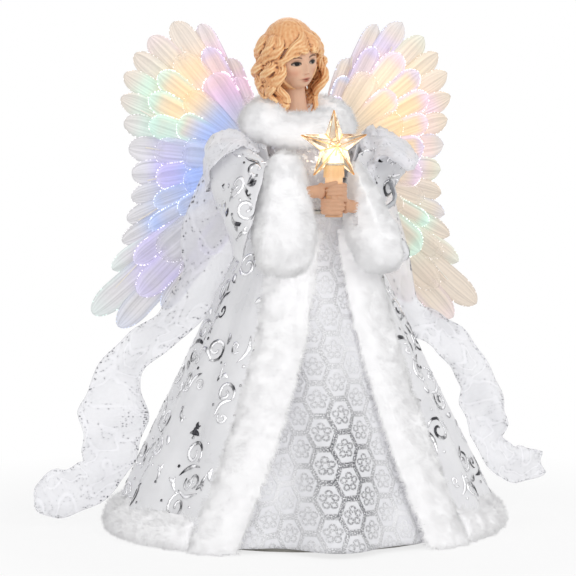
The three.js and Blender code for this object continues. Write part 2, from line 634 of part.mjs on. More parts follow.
function addSkirt() {
  const face = (offset) => (u, v) => {
    const angle = TURN * (u - 0.5);
    const z = lerp(SKIRT_HEM_Z, WAIST_Z, v);
    return around(angle, skirtRadius(z) + skirtFold(angle, z) + offset, z);
  };
  addPart('inner_skirt', sheetSolid(face(0), face(-SKIRT_CLOTH), 48, 4, true), [0xe6e6e9, 0.6]);
}

// The robe's front edges are straight lines seen from the front; each carries a band of fur
function openingAngle(side, z) {
  const hemX = side < 0 ? OPENING_LEFT_HEM_X : OPENING_RIGHT_HEM_X;
  const topX = side < 0 ? OPENING_LEFT_TOP_X : OPENING_RIGHT_TOP_X;
  return Math.asin(lerp(topX, hemX, hemShare(z)) / skirtEnvelope(z));
}
const trimOuterAngle = (side, z) => openingAngle(side, z) + (side * TRIM_WIDTH) / skirtEnvelope(z);
const robeEdgeAngle = (side, z) => trimOuterAngle(side, z) + (side * SOFT_GAP) / skirtEnvelope(z);

const robeFlare = (angle, z) => ROBE_EASE + ROBE_FLARE * hemShare(z) * Math.sin(angle) ** 2;
function robeOffset(angle, z) {
  const fold = (1 + Math.cos(ROBE_FOLDS * angle)) / 2;
  return robeFlare(angle, z) + ROBE_FOLD_DEPTH * hemShare(z) * fold;
}

function addFrontTrim(side, name) {
  const point = (u, v, thickness) => {
    const z = lerp(SOFT_GAP, WAIST_Z - TRIM_TOP_BELOW_WAIST, v);
    const angle = lerp(openingAngle(side, z), trimOuterAngle(side, z), u);
    const ease = SOFT_GAP + (SKIRT_CLOTH + robeFlare(angle, z) * u) * hemShare(z);
    return around(angle, skirtEnvelope(z) + ease + thickness, z);
  };
  const crown = (u, v) => lerp(TRIM_EDGE_THICKNESS, TRIM_THICKNESS, bulge(u)) * lerp(1, 0.6, v ** 3);
  const outer = (u, v) => point(u, v, crown(u, v));
  const inner = (u, v) => point(u, v, 0);
  addPart(name, sheetSolid(outer, inner, 6, 10, false), FUR);
}

function addHemTrim() {
  const face = (depth) => (u, v) => {
    const z = lerp(SOFT_GAP, HEM_TRIM_HEIGHT, v);
    const angle = lerp(robeEdgeAngle(1, z), TURN + robeEdgeAngle(-1, z), u);
    const thickness = lerp(TRIM_EDGE_THICKNESS, HEM_TRIM_THICKNESS, bulge(v));
    return around(angle, skirtEnvelope(z) + robeFlare(angle, z) + depth * thickness, z);
  };
  addPart('hem_trim', sheetSolid(face(1), face(0), 28, 4, false), FUR);
}

function addRobe() {
  const bottom = HEM_TRIM_HEIGHT + SOFT_GAP;
  const panel = (name, startAngle, endAngle, columns) => {
    const face = (offset) => (u, v) => {
      const z = lerp(bottom, ROBE_TOP_Z, v);
      const angle = lerp(startAngle(z), endAngle(z), u);
      return around(angle, skirtEnvelope(z) + robeOffset(angle, z) + offset, z);
    };
    addPart(name, sheetSolid(face(ROBE_CLOTH), face(0), columns, 4, false), SATIN);
  };
  const seam = (side) => (z) => side * ROBE_SEAM_ANGLE - (side * SOFT_GAP) / skirtEnvelope(z) / 2;
  const backStart = (z) => ROBE_SEAM_ANGLE + SOFT_GAP / skirtEnvelope(z) / 2;
  panel('robe_left_front', seam(-1), (z) => robeEdgeAngle(-1, z), 20);
  panel('robe_back', backStart, (z) => TURN - backStart(z), 34);
  panel('robe_right_front', (z) => robeEdgeAngle(1, z), seam(1), 20);
}

// Axes of a sleeve's section: along the sleeve, down the long way of the section, and across it
function sectionAxes(facing) {
  const along = vec(facing).normalize();
  const down = new THREE.Vector3(0, -CUFF_BOTTOM_FORWARD, -1);
  down.addScaledVector(along, -down.dot(along)).normalize();
  return { along, down, across: new THREE.Vector3().crossVectors(along, down) };
}

const cuffCentre = ({ place, drop }) => vec([...place, SHOULDER_Z - drop]);

function addCuff(cuff, name) {
  const { along, down, across } = sectionAxes(cuff.facing);
  const [halfTall, halfWide, halfLong] = cuff.half;
  const face = (fur) => (u, v) => {
    const crown = fur * lerp(0.35, 1, bulge(v));
    const tall = halfTall - CUFF_WALL * (1 - crown);
    const wide = halfWide - CUFF_WALL * (1 - crown);
    return cuffCentre(cuff).addScaledVector(along, halfLong * (2 * v - 1))
      .addScaledVector(down, tall * Math.cos(TURN * u)).addScaledVector(across, wide * Math.sin(TURN * u));
  };
  addPart(name, sheetSolid(face(1), face(0), 16, 4, true), FUR);
}

// Sleeve stations from the shoulder seam over the puff to the cuff
function sleeveStations(side, cuff) {
  const [tall, wide] = SHOULDER_HALF_SIZE;
  const seamShare = (SHOULDER_Z - tall - YOKE_BOTTOM_Z) / YOKE_HEIGHT;
  const seamX = yokePoint(Math.PI / 2, seamShare, ROBE_CLOTH + SOFT_GAP).x;
  const seam = { centre: vec([side * seamX, ARM_Y, SHOULDER_Z]), facing: [side, 0, -0.05], tall, wide };
  const elbow = side < 0 ? LEFT_ELBOW_X : RIGHT_ELBOW_X;
  const puff = SLEEVE_PUFF.map(({ inward, forward, rise, facing, half }) => ({
    centre: vec([side * (elbow - inward), -forward, SHOULDER_Z + rise]),
    facing: [side * facing[0], facing[1], facing[2]],
    tall: half[0],
    wide: half[1],
  }));
  const [cuffTall, , halfLong] = cuff.half;
  const { along } = sectionAxes(cuff.facing);
  const centre = cuffCentre(cuff).addScaledVector(along, -halfLong - SOFT_GAP);
  const end = { centre, facing: cuff.facing, tall: cuffTall - SLEEVE_END_INSET, wide: SLEEVE_END_HALF_WIDTH };
  return [seam, ...puff, end];
}

// A smooth tube through the stations, as a function of the turn, the place along it and the distance out
function sleeveSurface(stations) {
  const centres = new THREE.CatmullRomCurve3(stations.map(({ centre }) => centre));
  const facings = new THREE.CatmullRomCurve3(stations.map(({ facing }) => vec(facing)));
  const sizes = new THREE.CatmullRomCurve3(stations.map(({ tall, wide }) => vec([tall, wide, 0])));
  return (u, v, offset) => {
    const { down, across } = sectionAxes(facings.getPoint(v).toArray());
    const { x: tall, y: wide } = sizes.getPoint(v);
    return centres.getPoint(v).addScaledVector(down, (tall + offset) * Math.cos(TURN * u))
      .addScaledVector(across, (wide + offset) * Math.sin(TURN * u));
  };
}

function addArm(side, cuff, handZ, word) {
  addCuff(cuff, `cuff_${word}`);
  const stations = sleeveStations(side, cuff);
  const surface = sleeveSurface(stations);
  const outer = (u, v) => surface(u, v, 0);
  const inner = (u, v) => surface(u, v, -SLEEVE_CLOTH);
  addPart(`sleeve_${word}`, sheetSolid(outer, inner, SLEEVE_COLUMNS, SLEEVE_ROWS, true), SATIN);

  const handCentre = [LAMP_X + side * HAND_SHIFT, LAMP_Y, handZ];
  const { along, down } = sectionAxes(cuff.facing);
  const centre = cuffCentre(cuff);
  const wristDrop = (centre.z - handZ + WRIST_DROOP) / -down.z;
  centre.addScaledVector(along, WRIST_INSIDE_CUFF).addScaledVector(down, wristDrop);
  const wristEnd = centre.toArray();
  const gripReach = 2 * HAND_HALF_SIZE[2];
  const grip = cylinderBetween([LAMP_X, LAMP_Y, handZ - gripReach], [LAMP_X, LAMP_Y, handZ + gripReach],
    STEM_RADIUS + FIT_GAP, 20);
  const fist = join(ballAt(HAND_HALF_SIZE, handCentre), cylinderBetween(handCentre, wristEnd, WRIST_RADIUS));
  addPart(`hand_${word}`, geometryOf(cut(fist, grip)), SKIN);

  const wireStart = [ARM_WIRE_ROOT_X, YOKE_TOP_RADIUS, YOKE_BOTTOM_RADIUS]
    .map((x) => vec([side * x, ARM_Y, SHOULDER_Z]));
  const wristOut = vec(wristEnd).sub(vec(handCentre)).normalize();
  const wireEnd = vec(wristEnd).addScaledVector(wristOut, FIT_GAP);
  const route = new THREE.CatmullRomCurve3([...wireStart, ...stations.slice(1, 4).map(({ centre }) => centre),
    wireEnd.clone().addScaledVector(wristOut, 6), wireEnd]);
  addPart(`arm_wire_${word}`, wire(route, ARM_WIRE_RADIUS, 6, 14), STEEL);
}

// Star lamp: a candle-like stem, a bulb in its holder and a clear star pushed over both
function addLamp() {
  const lamp = new THREE.Group();
  lamp.position.set(LAMP_X, LAMP_Y, STEM_BOTTOM_Z);
  topper.add(lamp);
  const stem = turned([[STEM_BORE_RADIUS, 0], [STEM_RADIUS, 0], [STEM_RADIUS, STEM_LENGTH],
    [STEM_BORE_RADIUS, STEM_LENGTH], [STEM_BORE_RADIUS, 0]], 20);
  addPart('lamp_stem', stem, [0xf0d8b4, 0.4], lamp);

  const flangeBottom = STEM_LENGTH + FIT_GAP;
  const holderTop = flangeBottom + HOLDER_FLANGE;
  const plug = STEM_BORE_RADIUS - FIT_GAP;
  const holder = turned([[0, flangeBottom - HOLDER_LENGTH], [plug, flangeBottom - HOLDER_LENGTH],
    [plug, flangeBottom], [STEM_RADIUS - FIT_GAP, flangeBottom], [STEM_RADIUS - FIT_GAP, holderTop],
    [0, holderTop]], 16);
  addPart('bulb_holder', holder, WHITE_PLASTIC, lamp);

  const bulbBottom = holderTop + FIT_GAP;
  const bulbTop = bulbBottom + BULB_LENGTH;
  const bulb = turned([[0, bulbBottom], [BULB_RADIUS, bulbBottom], [BULB_RADIUS, bulbTop - BULB_RADIUS],
    [BULB_RADIUS * 0.7, bulbTop - BULB_RADIUS * 0.3], [0, bulbTop]], 14);
  addPart('star_bulb', bulb, [0xffe2b0, 0.2], lamp);

  const starZ = STEM_LENGTH + STAR_ABOVE_STEM;
  const neckTop = starZ - STAR_NOTCH_RADIUS / 2;
  const neckBottom = neckTop - STAR_NECK_LENGTH;
  const bore = STEM_RADIUS + FIT_GAP;
  const neck = cylinderBetween([0, 0, neckBottom], [0, 0, neckTop], bore + STAR_NECK_WALL, 20);
  const sleeve = cylinderBetween([0, 0, neckBottom - 1], [0, 0, bulbBottom], bore, 20);
  const hollow = cylinderBetween([0, 0, neckBottom - 1], [0, 0, bulbTop + 1], BULB_RADIUS + 2 * FIT_GAP, 16);
  addPart('star_cap', geometryOf(cut(join(star(starZ), neck), sleeve, hollow)), [0xfff0d8, 0.1], lamp);
}

// A five-pointed star with a raised middle on both faces
function star(z) {
  const positions = [0, -STAR_HALF_DEPTH, z, 0, STAR_HALF_DEPTH, z];
  const index = [];
  const corners = 10;
  for (let i = 0; i < corners; i++) {
    const radius = i % 2 ? STAR_NOTCH_RADIUS : STAR_RADIUS;
    const angle = (TURN * i) / corners;
    positions.push(radius * Math.sin(angle), 0, z + radius * Math.cos(angle));
    const here = 2 + i;
    const next = 2 + ((i + 1) % corners);
    index.push(0, next, here, 1, here, next);
  }
  return facingOut(positions, index);
}

// Where a tail is sewn on: just behind the rearmost place of the sleeve
function scarfSeam(side) {
  const surface = sleeveSurface(sleeveStations(side, side < 0 ? LEFT_CUFF : RIGHT_CUFF));
  let rear = surface(0, 0, 0);
  for (let row = 0; row <= SLEEVE_ROWS; row++) {
    for (let column = 0; column < SLEEVE_COLUMNS; column++) {
      const place = surface(column / SLEEVE_COLUMNS, row / SLEEVE_ROWS, 0);
      if (place.y > rear.y) rear = place;
    }
  }
  return rear.add(new THREE.Vector3(0, SCARF_CLOTH + FIT_GAP, 0));
}

// A tail of the scarf: a band that keeps its face to the front while it curls to and fro
function addTail(points, end, side, tailWidth, name) {
  const seam = scarfSeam(side);
  const tip = vec([side * SCARF_REACH, end.y, end.z]);
  const route = new THREE.CatmullRomCurve3([seam, ...points.map(vec), tip]);
  const front = new THREE.Vector3(0, -1, 0);
  const face = (offset) => (u, v) => {
    const place = route.getPointAt(v);
    const across = route.getTangentAt(v).cross(front).normalize();
    const spread = THREE.MathUtils.smoothstep(v, 0.4, 0.6);
    const width = lerp(SCARF_TOP_WIDTH, tailWidth, spread) * Math.min(1, 0.55 + 6 * (1 - v));
    const curl = SCARF_CURL * Math.min(1, 4 * v) * Math.sin(TURN * SCARF_CURLS * v + Math.PI * u);
    return place.addScaledVector(across, width * (u - 0.5)).addScaledVector(front, curl + offset);
  };
  addPart(name, sheetSolid(face(SCARF_CLOTH), face(0), 4, 24, false), SHEER);
}

// Sheer puff over the right sleeve, from the back of the shoulder to the forearm
function addScarfPuff() {
  const surface = sleeveSurface(sleeveStations(1, RIGHT_CUFF));
  const face = (offset) => (u, v) => surface(lerp(...PUFF_TURN_SPAN, u), lerp(...PUFF_ALONG_SPAN, v),
    PUFF_STANDOFF + offset);
  addPart('scarf_puff', sheetSolid(face(SCARF_CLOTH), face(0), 8, 6, false), SHEER);
}

// Wing bracket: a plate screwed to the back, with a lug above and below each wing's knuckle
function addBracket() {
  const lugMiddles = [BRACKET_BOTTOM_Z + LUG_LENGTH / 2, BRACKET_TOP_Z - LUG_LENGTH / 2];
  const plateSize = [2 * HINGE_X, BRACKET_PLATE_THICKNESS, BRACKET_TOP_Z - BRACKET_BOTTOM_Z];
  const plate = boxAt(plateSize, [0, (PLATE_FRONT_Y + PLATE_BACK_Y) / 2, WING_ROOT_Z]);
  const lugs = [];
  const pinHoles = [];
  for (const side of [-1, 1]) {
    for (const z of lugMiddles) {
      const [low, high] = [z - LUG_LENGTH / 2, z + LUG_LENGTH / 2];
      lugs.push(cylinderBetween([side * HINGE_X, HINGE_Y, low], [side * HINGE_X, HINGE_Y, high],
        KNUCKLE_RADIUS, 10));
      const webDepth = HINGE_Y - PLATE_FRONT_Y;
      lugs.push(boxAt([KNUCKLE_RADIUS, webDepth, LUG_LENGTH],
        [side * (HINGE_X - KNUCKLE_RADIUS / 2), PLATE_FRONT_Y + webDepth / 2, z]));
    }
    const [x, y] = [side * HINGE_X, HINGE_Y];
    const pinBottom = BRACKET_BOTTOM_Z - PIN_END;
    const pinHoleTop = BRACKET_TOP_Z + PIN_END;
    pinHoles.push(cylinderBetween([x, y, pinBottom], [x, y, pinHoleTop], PIN_RADIUS + FIT_GAP, 10));
    const headBottom = BRACKET_TOP_Z + FIT_GAP;
    const pin = turned([[0, pinBottom], [PIN_RADIUS, pinBottom], [PIN_RADIUS, headBottom],
      [PIN_HEAD_RADIUS, headBottom], [PIN_HEAD_RADIUS, headBottom + PIN_HEAD_LENGTH],
      [0, headBottom + PIN_HEAD_LENGTH]], 10, x, y);
    addPart(side < 0 ? 'wing_pin_left' : 'wing_pin_right', pin, STEEL);
  }
  const bracket = cut(join(plate, ...lugs), ...pinHoles, ...bodyHoles());
  addPart('wing_bracket', geometryOf(bracket), WHITE_PLASTIC);

  SCREW_HEIGHTS.forEach((z, i) => {
    const seat = PLATE_BACK_Y + FIT_GAP;
    const screw = turned([[0, -SCREW_LENGTH], [SCREW_RADIUS, -SCREW_LENGTH], [SCREW_RADIUS, 0],
      [SCREW_HEAD_RADIUS, 0], [SCREW_HEAD_RADIUS, SCREW_HEAD_LENGTH], [0, SCREW_HEAD_LENGTH]], 8);
    addPart(`bracket_screw_${i + 1}`, screw.rotateX(-Math.PI / 2).translate(0, seat, z), STEEL);
  });
}

// Feathers in the wing's own plane: p runs out from the hinge, q up
function featherTip(index, count, reach) {
  const share = index / (count - 1);
  const angle = lerp(FEATHER_FIRST_ANGLE, FEATHER_LAST_ANGLE, share);
  const place = share * (FEATHER_LENGTHS.length - 1);
  const low = Math.min(Math.floor(place), FEATHER_LENGTHS.length - 2);
  const length = reach * lerp(FEATHER_LENGTHS[low], FEATHER_LENGTHS[low + 1], place - low);
  return new THREE.Vector2(length * Math.sin(angle), length * Math.cos(angle));
}

// Where two neighbouring feathers part
function featherNotch(tipBefore, tipAfter) {
  const middle = tipBefore.clone().add(tipAfter).normalize();
  return middle.multiplyScalar(Math.min(tipBefore.length(), tipAfter.length()) - FEATHER_NOTCH);
}

// One layer of feather film, laid against the wing's plane at depth n
function film(count, reach, n) {
  const tips = Array.from({ length: count }, (_, i) => featherTip(i, count, reach));
  const notches = tips.slice(1).map((tip, i) => featherNotch(tips[i], tip));
  const first = tips[0].clone().multiplyScalar(1 - FEATHER_NOTCH / tips[0].length());
  const last = tips[count - 1].clone().multiplyScalar(1 - FEATHER_NOTCH / tips[count - 1].length());
  const ends = [first.add(new THREE.Vector2(-FEATHER_HALF_WIDTH, 0)), ...notches,
    last.add(new THREE.Vector2(-FEATHER_HALF_WIDTH, -FEATHER_HALF_WIDTH / 2))];
  const rootP = WING_ARM_LENGTH + 1;
  const shape = new THREE.Shape();
  shape.moveTo(rootP, FILM_ROOT_HALF_HEIGHT);
  shape.lineTo(ends[0].x, ends[0].y);
  tips.forEach((tip, i) => {
    const [from, to] = [ends[i], ends[i + 1]];
    const pull = tip.clone().sub(from.clone().add(to).multiplyScalar(0.5)).multiplyScalar(4 / 3);
    shape.bezierCurveTo(from.x + pull.x, from.y + pull.y, to.x + pull.x, to.y + pull.y, to.x, to.y);
  });
  shape.lineTo(rootP, -FILM_ROOT_HALF_HEIGHT);
  const settings = { depth: FILM_THICKNESS, bevelEnabled: false, curveSegments: 6 };
  const sheet = new THREE.ExtrudeGeometry(shape, settings);
  return sheet.rotateX(Math.PI / 2).translate(0, n + FILM_THICKNESS, 0);
}

// A fan of fibres from the lamp in the wing's arm to the feathers
function fibres(start, n) {
  const bundle = cylinderBetween([start, n, 0], [start + FIBRE_BUNDLE_LENGTH, n, 0], FIBRE_BUNDLE_RADIUS, 10);
  const root = [start + FIBRE_BUNDLE_LENGTH - 2 * FIBRE_RADIUS, n, 0];
  const strands = [];
  for (let i = 0; i < FEATHERS; i += 2) {
    const tip = featherTip(i, FEATHERS, MIDDLE_FILM_REACH);
    strands.push(cylinderBetween(root, [tip.x, n, tip.y], FIBRE_RADIUS, 4));
  }
  return geometryOf(join(bundle, ...strands));
}

// One wing, built for the right side and mirrored for the left
function addWing(side, word) {
  const wing = new THREE.Group();
  wing.position.set(side * HINGE_X, HINGE_Y, WING_ROOT_Z);
  wing.rotation.z = side * WING_SWEEP;
  wing.scale.x = side;
  topper.add(wing);

  const half = KNUCKLE_LENGTH / 2;
  const knuckle = cylinderBetween([0, 0, -half], [0, 0, half], KNUCKLE_RADIUS, 10);
  const arm = boxAt([WING_ARM_LENGTH, 2 * WING_ARM_HALF_DEPTH, KNUCKLE_LENGTH], [WING_ARM_LENGTH / 2, 0, 0]);
  const pinHole = cylinderBetween([0, 0, -half - 1], [0, 0, half + 1], PIN_RADIUS + FIT_GAP, 10);
  const lampSeat = KNUCKLE_RADIUS + PIN_RADIUS;
  const lampHole = cylinderBetween([lampSeat, 0, 0], [WING_ARM_LENGTH + 1, 0, 0],
    FIBRE_BUNDLE_RADIUS + FIT_GAP, 12);
  addPart(`wing_root_${word}`, geometryOf(cut(join(knuckle, arm), pinHole, lampHole)), WHITE_PLASTIC, wing);

  const lampStart = lampSeat + FIT_GAP;
  const lamp = cylinderBetween([lampStart, 0, 0], [lampStart + WING_LED_LENGTH, 0, 0], WING_LED_RADIUS, 12);
  addPart(`wing_lamp_${word}`, lamp, [0xfff2d0, 0.2], wing);
  const fibreStart = lampStart + WING_LED_LENGTH + FIT_GAP;
  addPart(`wing_fibres_${word}`, fibres(fibreStart, 0), [0xf4eee0, 0.2], wing);

  const outerFront = FIBRE_BUNDLE_RADIUS + FIT_GAP;
  addPart(`wing_outer_${word}`, film(FEATHERS, 1, outerFront), FILM, wing);
  const middleFront = -FIBRE_BUNDLE_RADIUS - FIT_GAP - FILM_THICKNESS;
  addPart(`wing_middle_${word}`, film(FEATHERS - 4, MIDDLE_FILM_REACH, middleFront), FILM, wing);
  addPart(`wing_inner_${word}`, film(FEATHERS - 8, INNER_FILM_REACH, middleFront - FILM_STEP), FILM, wing);
}

addSupport();
addBattery();
addTorso();
addHead();
addCollar();
addSkirt();
addFrontTrim(-1, 'front_trim_left');
addFrontTrim(1, 'front_trim_right');
addHemTrim();
addRobe();
addLamp();
addArm(-1, LEFT_CUFF, LEFT_HAND_Z, 'left');
addArm(1, RIGHT_CUFF, RIGHT_HAND_Z, 'right');
addTail(LEFT_TAIL, LEFT_TAIL_END, -1, LEFT_TAIL_WIDTH, 'scarf_tail_left');
addTail(RIGHT_TAIL, RIGHT_TAIL_END, 1, RIGHT_TAIL_WIDTH, 'scarf_tail_right');
addScarfPuff();
addBracket();
addWing(-1, 'left');
addWing(1, 'right');

export default topper;
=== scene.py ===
# %% [markdown]
# # An angel for the top of the tree
# A doll angel about a third of a metre tall: a moulded head and hands, a satin robe printed with silver
# foil and edged with white plush, a brocade skirt, a sheer scarf, wings of layered film that light up, and
# a star lamp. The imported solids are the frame. Every cell below dresses one part of them.

# %% Load the frame
import json
import math
import random

import bmesh
import bpy
import numpy
from mathutils import Matrix, Vector, noise
from mathutils.bvhtree import BVHTree


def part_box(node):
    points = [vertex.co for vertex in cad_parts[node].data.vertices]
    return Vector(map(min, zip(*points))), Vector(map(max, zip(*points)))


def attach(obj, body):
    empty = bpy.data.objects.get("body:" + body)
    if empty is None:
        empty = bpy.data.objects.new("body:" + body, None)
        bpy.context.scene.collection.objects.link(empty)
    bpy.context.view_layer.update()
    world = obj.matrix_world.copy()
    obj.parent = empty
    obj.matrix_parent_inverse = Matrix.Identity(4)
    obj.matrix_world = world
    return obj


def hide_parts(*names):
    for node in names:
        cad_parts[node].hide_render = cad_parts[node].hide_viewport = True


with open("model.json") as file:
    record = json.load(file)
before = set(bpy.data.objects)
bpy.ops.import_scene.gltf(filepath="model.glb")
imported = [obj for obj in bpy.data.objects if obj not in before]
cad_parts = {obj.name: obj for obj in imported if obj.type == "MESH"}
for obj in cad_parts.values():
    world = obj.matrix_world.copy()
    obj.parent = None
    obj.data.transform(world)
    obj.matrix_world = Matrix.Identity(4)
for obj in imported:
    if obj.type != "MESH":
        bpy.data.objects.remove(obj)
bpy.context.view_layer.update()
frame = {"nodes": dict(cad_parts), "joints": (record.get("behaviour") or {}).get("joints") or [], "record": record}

MM = 0.001
TURN = 2 * math.pi
scene = bpy.context.scene
nodes = frame["nodes"]

# %% [markdown]
# ## Camera
# The photograph was taken from a little to the figure's right and slightly above its waist, with a long
# lens. The camera stands far back, so that the near cuff and the far wing keep their true sizes.

# %% Camera
VIEW_AZIMUTH = math.radians(-15)
VIEW_ELEVATION = math.radians(5)
VIEW_DISTANCE = 1.8
VIEW_AIM = Vector((-10.6, 2.8, 154.7)) * MM
FRAME_PIXELS = 576
PIXEL_SIZE = 0.645 * MM
SHEER_LAYERS = 24

toward_camera = Vector((
    math.sin(VIEW_AZIMUTH) * math.cos(VIEW_ELEVATION),
    -math.cos(VIEW_AZIMUTH) * math.cos(VIEW_ELEVATION),
    math.sin(VIEW_ELEVATION),
))
camera_data = bpy.data.cameras.new("camera")
camera_data.lens = camera_data.sensor_width * VIEW_DISTANCE / (FRAME_PIXELS * PIXEL_SIZE)
camera = bpy.data.objects.new("camera", camera_data)
camera.location = VIEW_AIM + toward_camera * VIEW_DISTANCE
camera.rotation_euler = toward_camera.to_track_quat("Z", "Y").to_euler()
scene.collection.objects.link(camera)
scene.camera = camera
scene.view_settings.view_transform = "Standard"
scene.cycles.transparent_max_bounces = SHEER_LAYERS
print("camera: lens", round(camera_data.lens, 1), "mm")

# %% [markdown]
# ## Small helpers
# Colours are written as the eye sees them, in steps of 0 to 255, and turned into the light values that
# Blender mixes. Shapes and paint use soft steps and soft spots. Materials are wired with a few helpers:
# one adds a node, and the others do a sum, stretch a range, look up a noise or blend two colours.


# %% Helpers for values
def mix(a, b, share):
    return a + (b - a) * share


def clamp(x):
    return min(1.0, max(0.0, x))


def ease(low, high, x):
    share = clamp((x - low) / (high - low))
    return share * share * (3 - 2 * share)


def bell(away, width):
    return math.exp(-((away / width) ** 2))


def dab(x, z, at_x, at_z, wide, tall):
    """A soft round spot: 1 in its middle, fading to nothing."""
    return math.exp(-((x - at_x) / wide) ** 2 - ((z - at_z) / tall) ** 2)


def tint(red, green, blue):
    def light(step):
        share = step / 255
        return share / 12.92 if share <= 0.04045 else ((share + 0.055) / 1.055) ** 2.4

    return (light(red), light(green), light(blue), 1.0)


def pigment(shade):
    return Vector(tint(*shade)[:3])


print("white paint is", [round(x, 3) for x in pigment((255, 255, 255))])


# %% Helpers for nodes
def wire(tree, socket, value):
    if isinstance(value, bpy.types.NodeSocket):
        tree.links.new(value, socket)
    else:
        socket.default_value = value


def add_node(tree, kind, inputs=None, **settings):
    made = tree.nodes.new(kind if "Node" in kind else "ShaderNode" + kind)
    for name, value in settings.items():
        setattr(made, name, value)
    for name, value in (inputs or {}).items():
        wire(tree, made.inputs[name], value)
    return made


def calc(tree, operation, *terms):
    return add_node(tree, "Math", dict(enumerate(terms)), operation=operation).outputs[0]


def vector_calc(tree, operation, *terms):
    return add_node(tree, "VectorMath", dict(enumerate(terms)), operation=operation).outputs[0]


def scaled(tree, vector, factor):
    return add_node(tree, "VectorMath", {0: vector, "Scale": factor}, operation="SCALE").outputs[0]


def length_of(tree, vector):
    return add_node(tree, "VectorMath", {0: vector}, operation="LENGTH").outputs["Value"]


def remap(tree, value, low, high, to_low=0.0, to_high=1.0):
    return add_node(tree, "MapRange", {
        "Value": value, "From Min": low, "From Max": high, "To Min": to_low, "To Max": to_high}).outputs[0]


def cloudy(tree, place, scale, detail):
    return add_node(tree, "TexNoise", {"Vector": place, "Scale": scale, "Detail": detail}).outputs[0]


def mapped(tree, place, **changes):
    return add_node(tree, "Mapping", {"Vector": place, **changes}).outputs[0]


def attribute(tree, name, output="Fac"):
    return add_node(tree, "Attribute", attribute_name=name).outputs[output]


def object_place(tree):
    return add_node(tree, "TexCoord").outputs["Object"]


def blend_colours(tree, share, first, second):
    made = add_node(tree, "Mix", data_type="RGBA")
    colours = [socket for socket in made.inputs if socket.type == "RGBA"]
    for socket, value in zip((made.inputs[0], *colours), (share, first, second)):
        wire(tree, socket, value)
    return next(socket for socket in made.outputs if socket.type == "RGBA")


def bump(tree, height, strength, distance=0.3 * MM):
    made = add_node(tree, "Bump", {"Height": height, "Strength": strength, "Distance": distance})
    return made.outputs["Normal"]


def feed(tree, shader, **sockets):
    """Wires or sets a shader's inputs. An underscore in a name stands for a space."""
    for name, value in sockets.items():
        wire(tree, shader.inputs[name.replace("_", " ")], value)


def new_finish(name, **sockets):
    material = bpy.data.materials.new(name)
    material.use_nodes = True
    shader = material.node_tree.nodes["Principled BSDF"]
    feed(material.node_tree, shader, **sockets)
    return material, material.node_tree, shader


print("node helpers ready")

# %% [markdown]
# ## Light and floor
# A product photograph on white: one large soft lamp high on the right, a weaker one on the left, one
# behind, and an even sky. To the camera, and in gloss and glass, the sky is plain white. The floor mixes
# real shading with white, so that it stays pale and still carries a soft shadow.

# %% Sky
SKY_LIGHT = 0.65
WHITE_LIGHT = (1.0, 1.0, 1.0, 1.0)

world = bpy.data.worlds.new("studio")
world.use_nodes = True
scene.world = world
tree = world.node_tree
rays = add_node(tree, "LightPath").outputs
seen = calc(tree, "MAXIMUM", rays["Is Camera Ray"], rays["Is Glossy Ray"])
seen = calc(tree, "MAXIMUM", seen, rays["Is Transmission Ray"])
sky_strength = calc(tree, "MULTIPLY_ADD", seen, 1 - SKY_LIGHT, SKY_LIGHT)
feed(tree, tree.nodes["Background"], Color=WHITE_LIGHT, Strength=sky_strength)
print("sky gives", SKY_LIGHT)

# %% Lamps
LAMPS = {
    "key_lamp": ((0.7, -1.35, 1.05), 8.0, 0.9),
    "fill_lamp": ((-1.2, -1.1, 0.6), 4.2, 1.0),
    "back_lamp": ((0.3, 1.3, 1.2), 4.0, 0.9),
}
for name, (place, power, size) in LAMPS.items():
    lamp_data = bpy.data.lights.new(name, "AREA")
    lamp_data.energy = power
    lamp_data.size = size
    lamp = bpy.data.objects.new(name, lamp_data)
    lamp.location = place
    lamp.rotation_euler = (Vector(place) - VIEW_AIM).to_track_quat("Z", "Y").to_euler()
    scene.collection.objects.link(lamp)
    print("lamp", name, power, "W")

# %% Floor
FLOOR_SIZE = 3.0
FLOOR_GREY = (0.9, 0.9, 0.9, 1.0)
SHADOW_REACH = 0.2
FLOOR_CLEAR = 0.36
FLOOR_WHITENESS = 0.78

floor_bm = bmesh.new()
bmesh.ops.create_grid(floor_bm, x_segments=1, y_segments=1, size=FLOOR_SIZE)
floor_mesh = bpy.data.meshes.new("floor")
floor_bm.to_mesh(floor_mesh)
floor_bm.free()
floor = bpy.data.objects.new("floor", floor_mesh)
scene.collection.objects.link(floor)
floor_white, tree, shader = new_finish(
    "floor_white", Base_Color=FLOOR_GREY, Roughness=0.9, Specular_IOR_Level=0.0)
fade = remap(
    tree, length_of(tree, object_place(tree)), SHADOW_REACH, FLOOR_CLEAR, FLOOR_WHITENESS, 1.0)
whiten = calc(tree, "MULTIPLY", fade, add_node(tree, "LightPath").outputs["Is Camera Ray"])
plain = add_node(tree, "Emission", {"Color": WHITE_LIGHT, "Strength": 1.0}).outputs[0]
floor_mix = add_node(tree, "MixShader", {0: whiten, 1: shader.outputs[0], 2: plain})
feed(tree, tree.nodes["Material Output"], Surface=floor_mix.outputs[0])
floor_mesh.materials.append(floor_white)
print("floor laid")

# %% [markdown]
# ## Shared finishes
# Cloth shows its threads, and moulded, pressed or cast parts show a faint mottle. Both are used by many
# materials, so each is a node group that puts out a tone and a height.

# %% Shared node groups
VECTOR = "NodeSocketVector"
FLOAT = "NodeSocketFloat"
SLUB_SCALE = 0.05
FINE_GRAIN = 9.0


def open_group(name, inputs, outputs):
    group = bpy.data.node_groups.new(name, "ShaderNodeTree")
    for label, kind in inputs:
        group.interface.new_socket(label, in_out="INPUT", socket_type=kind)
    for label in outputs:
        group.interface.new_socket(label, in_out="OUTPUT", socket_type=FLOAT)
    return group, group.nodes.new("NodeGroupInput").outputs, group.nodes.new("NodeGroupOutput").inputs


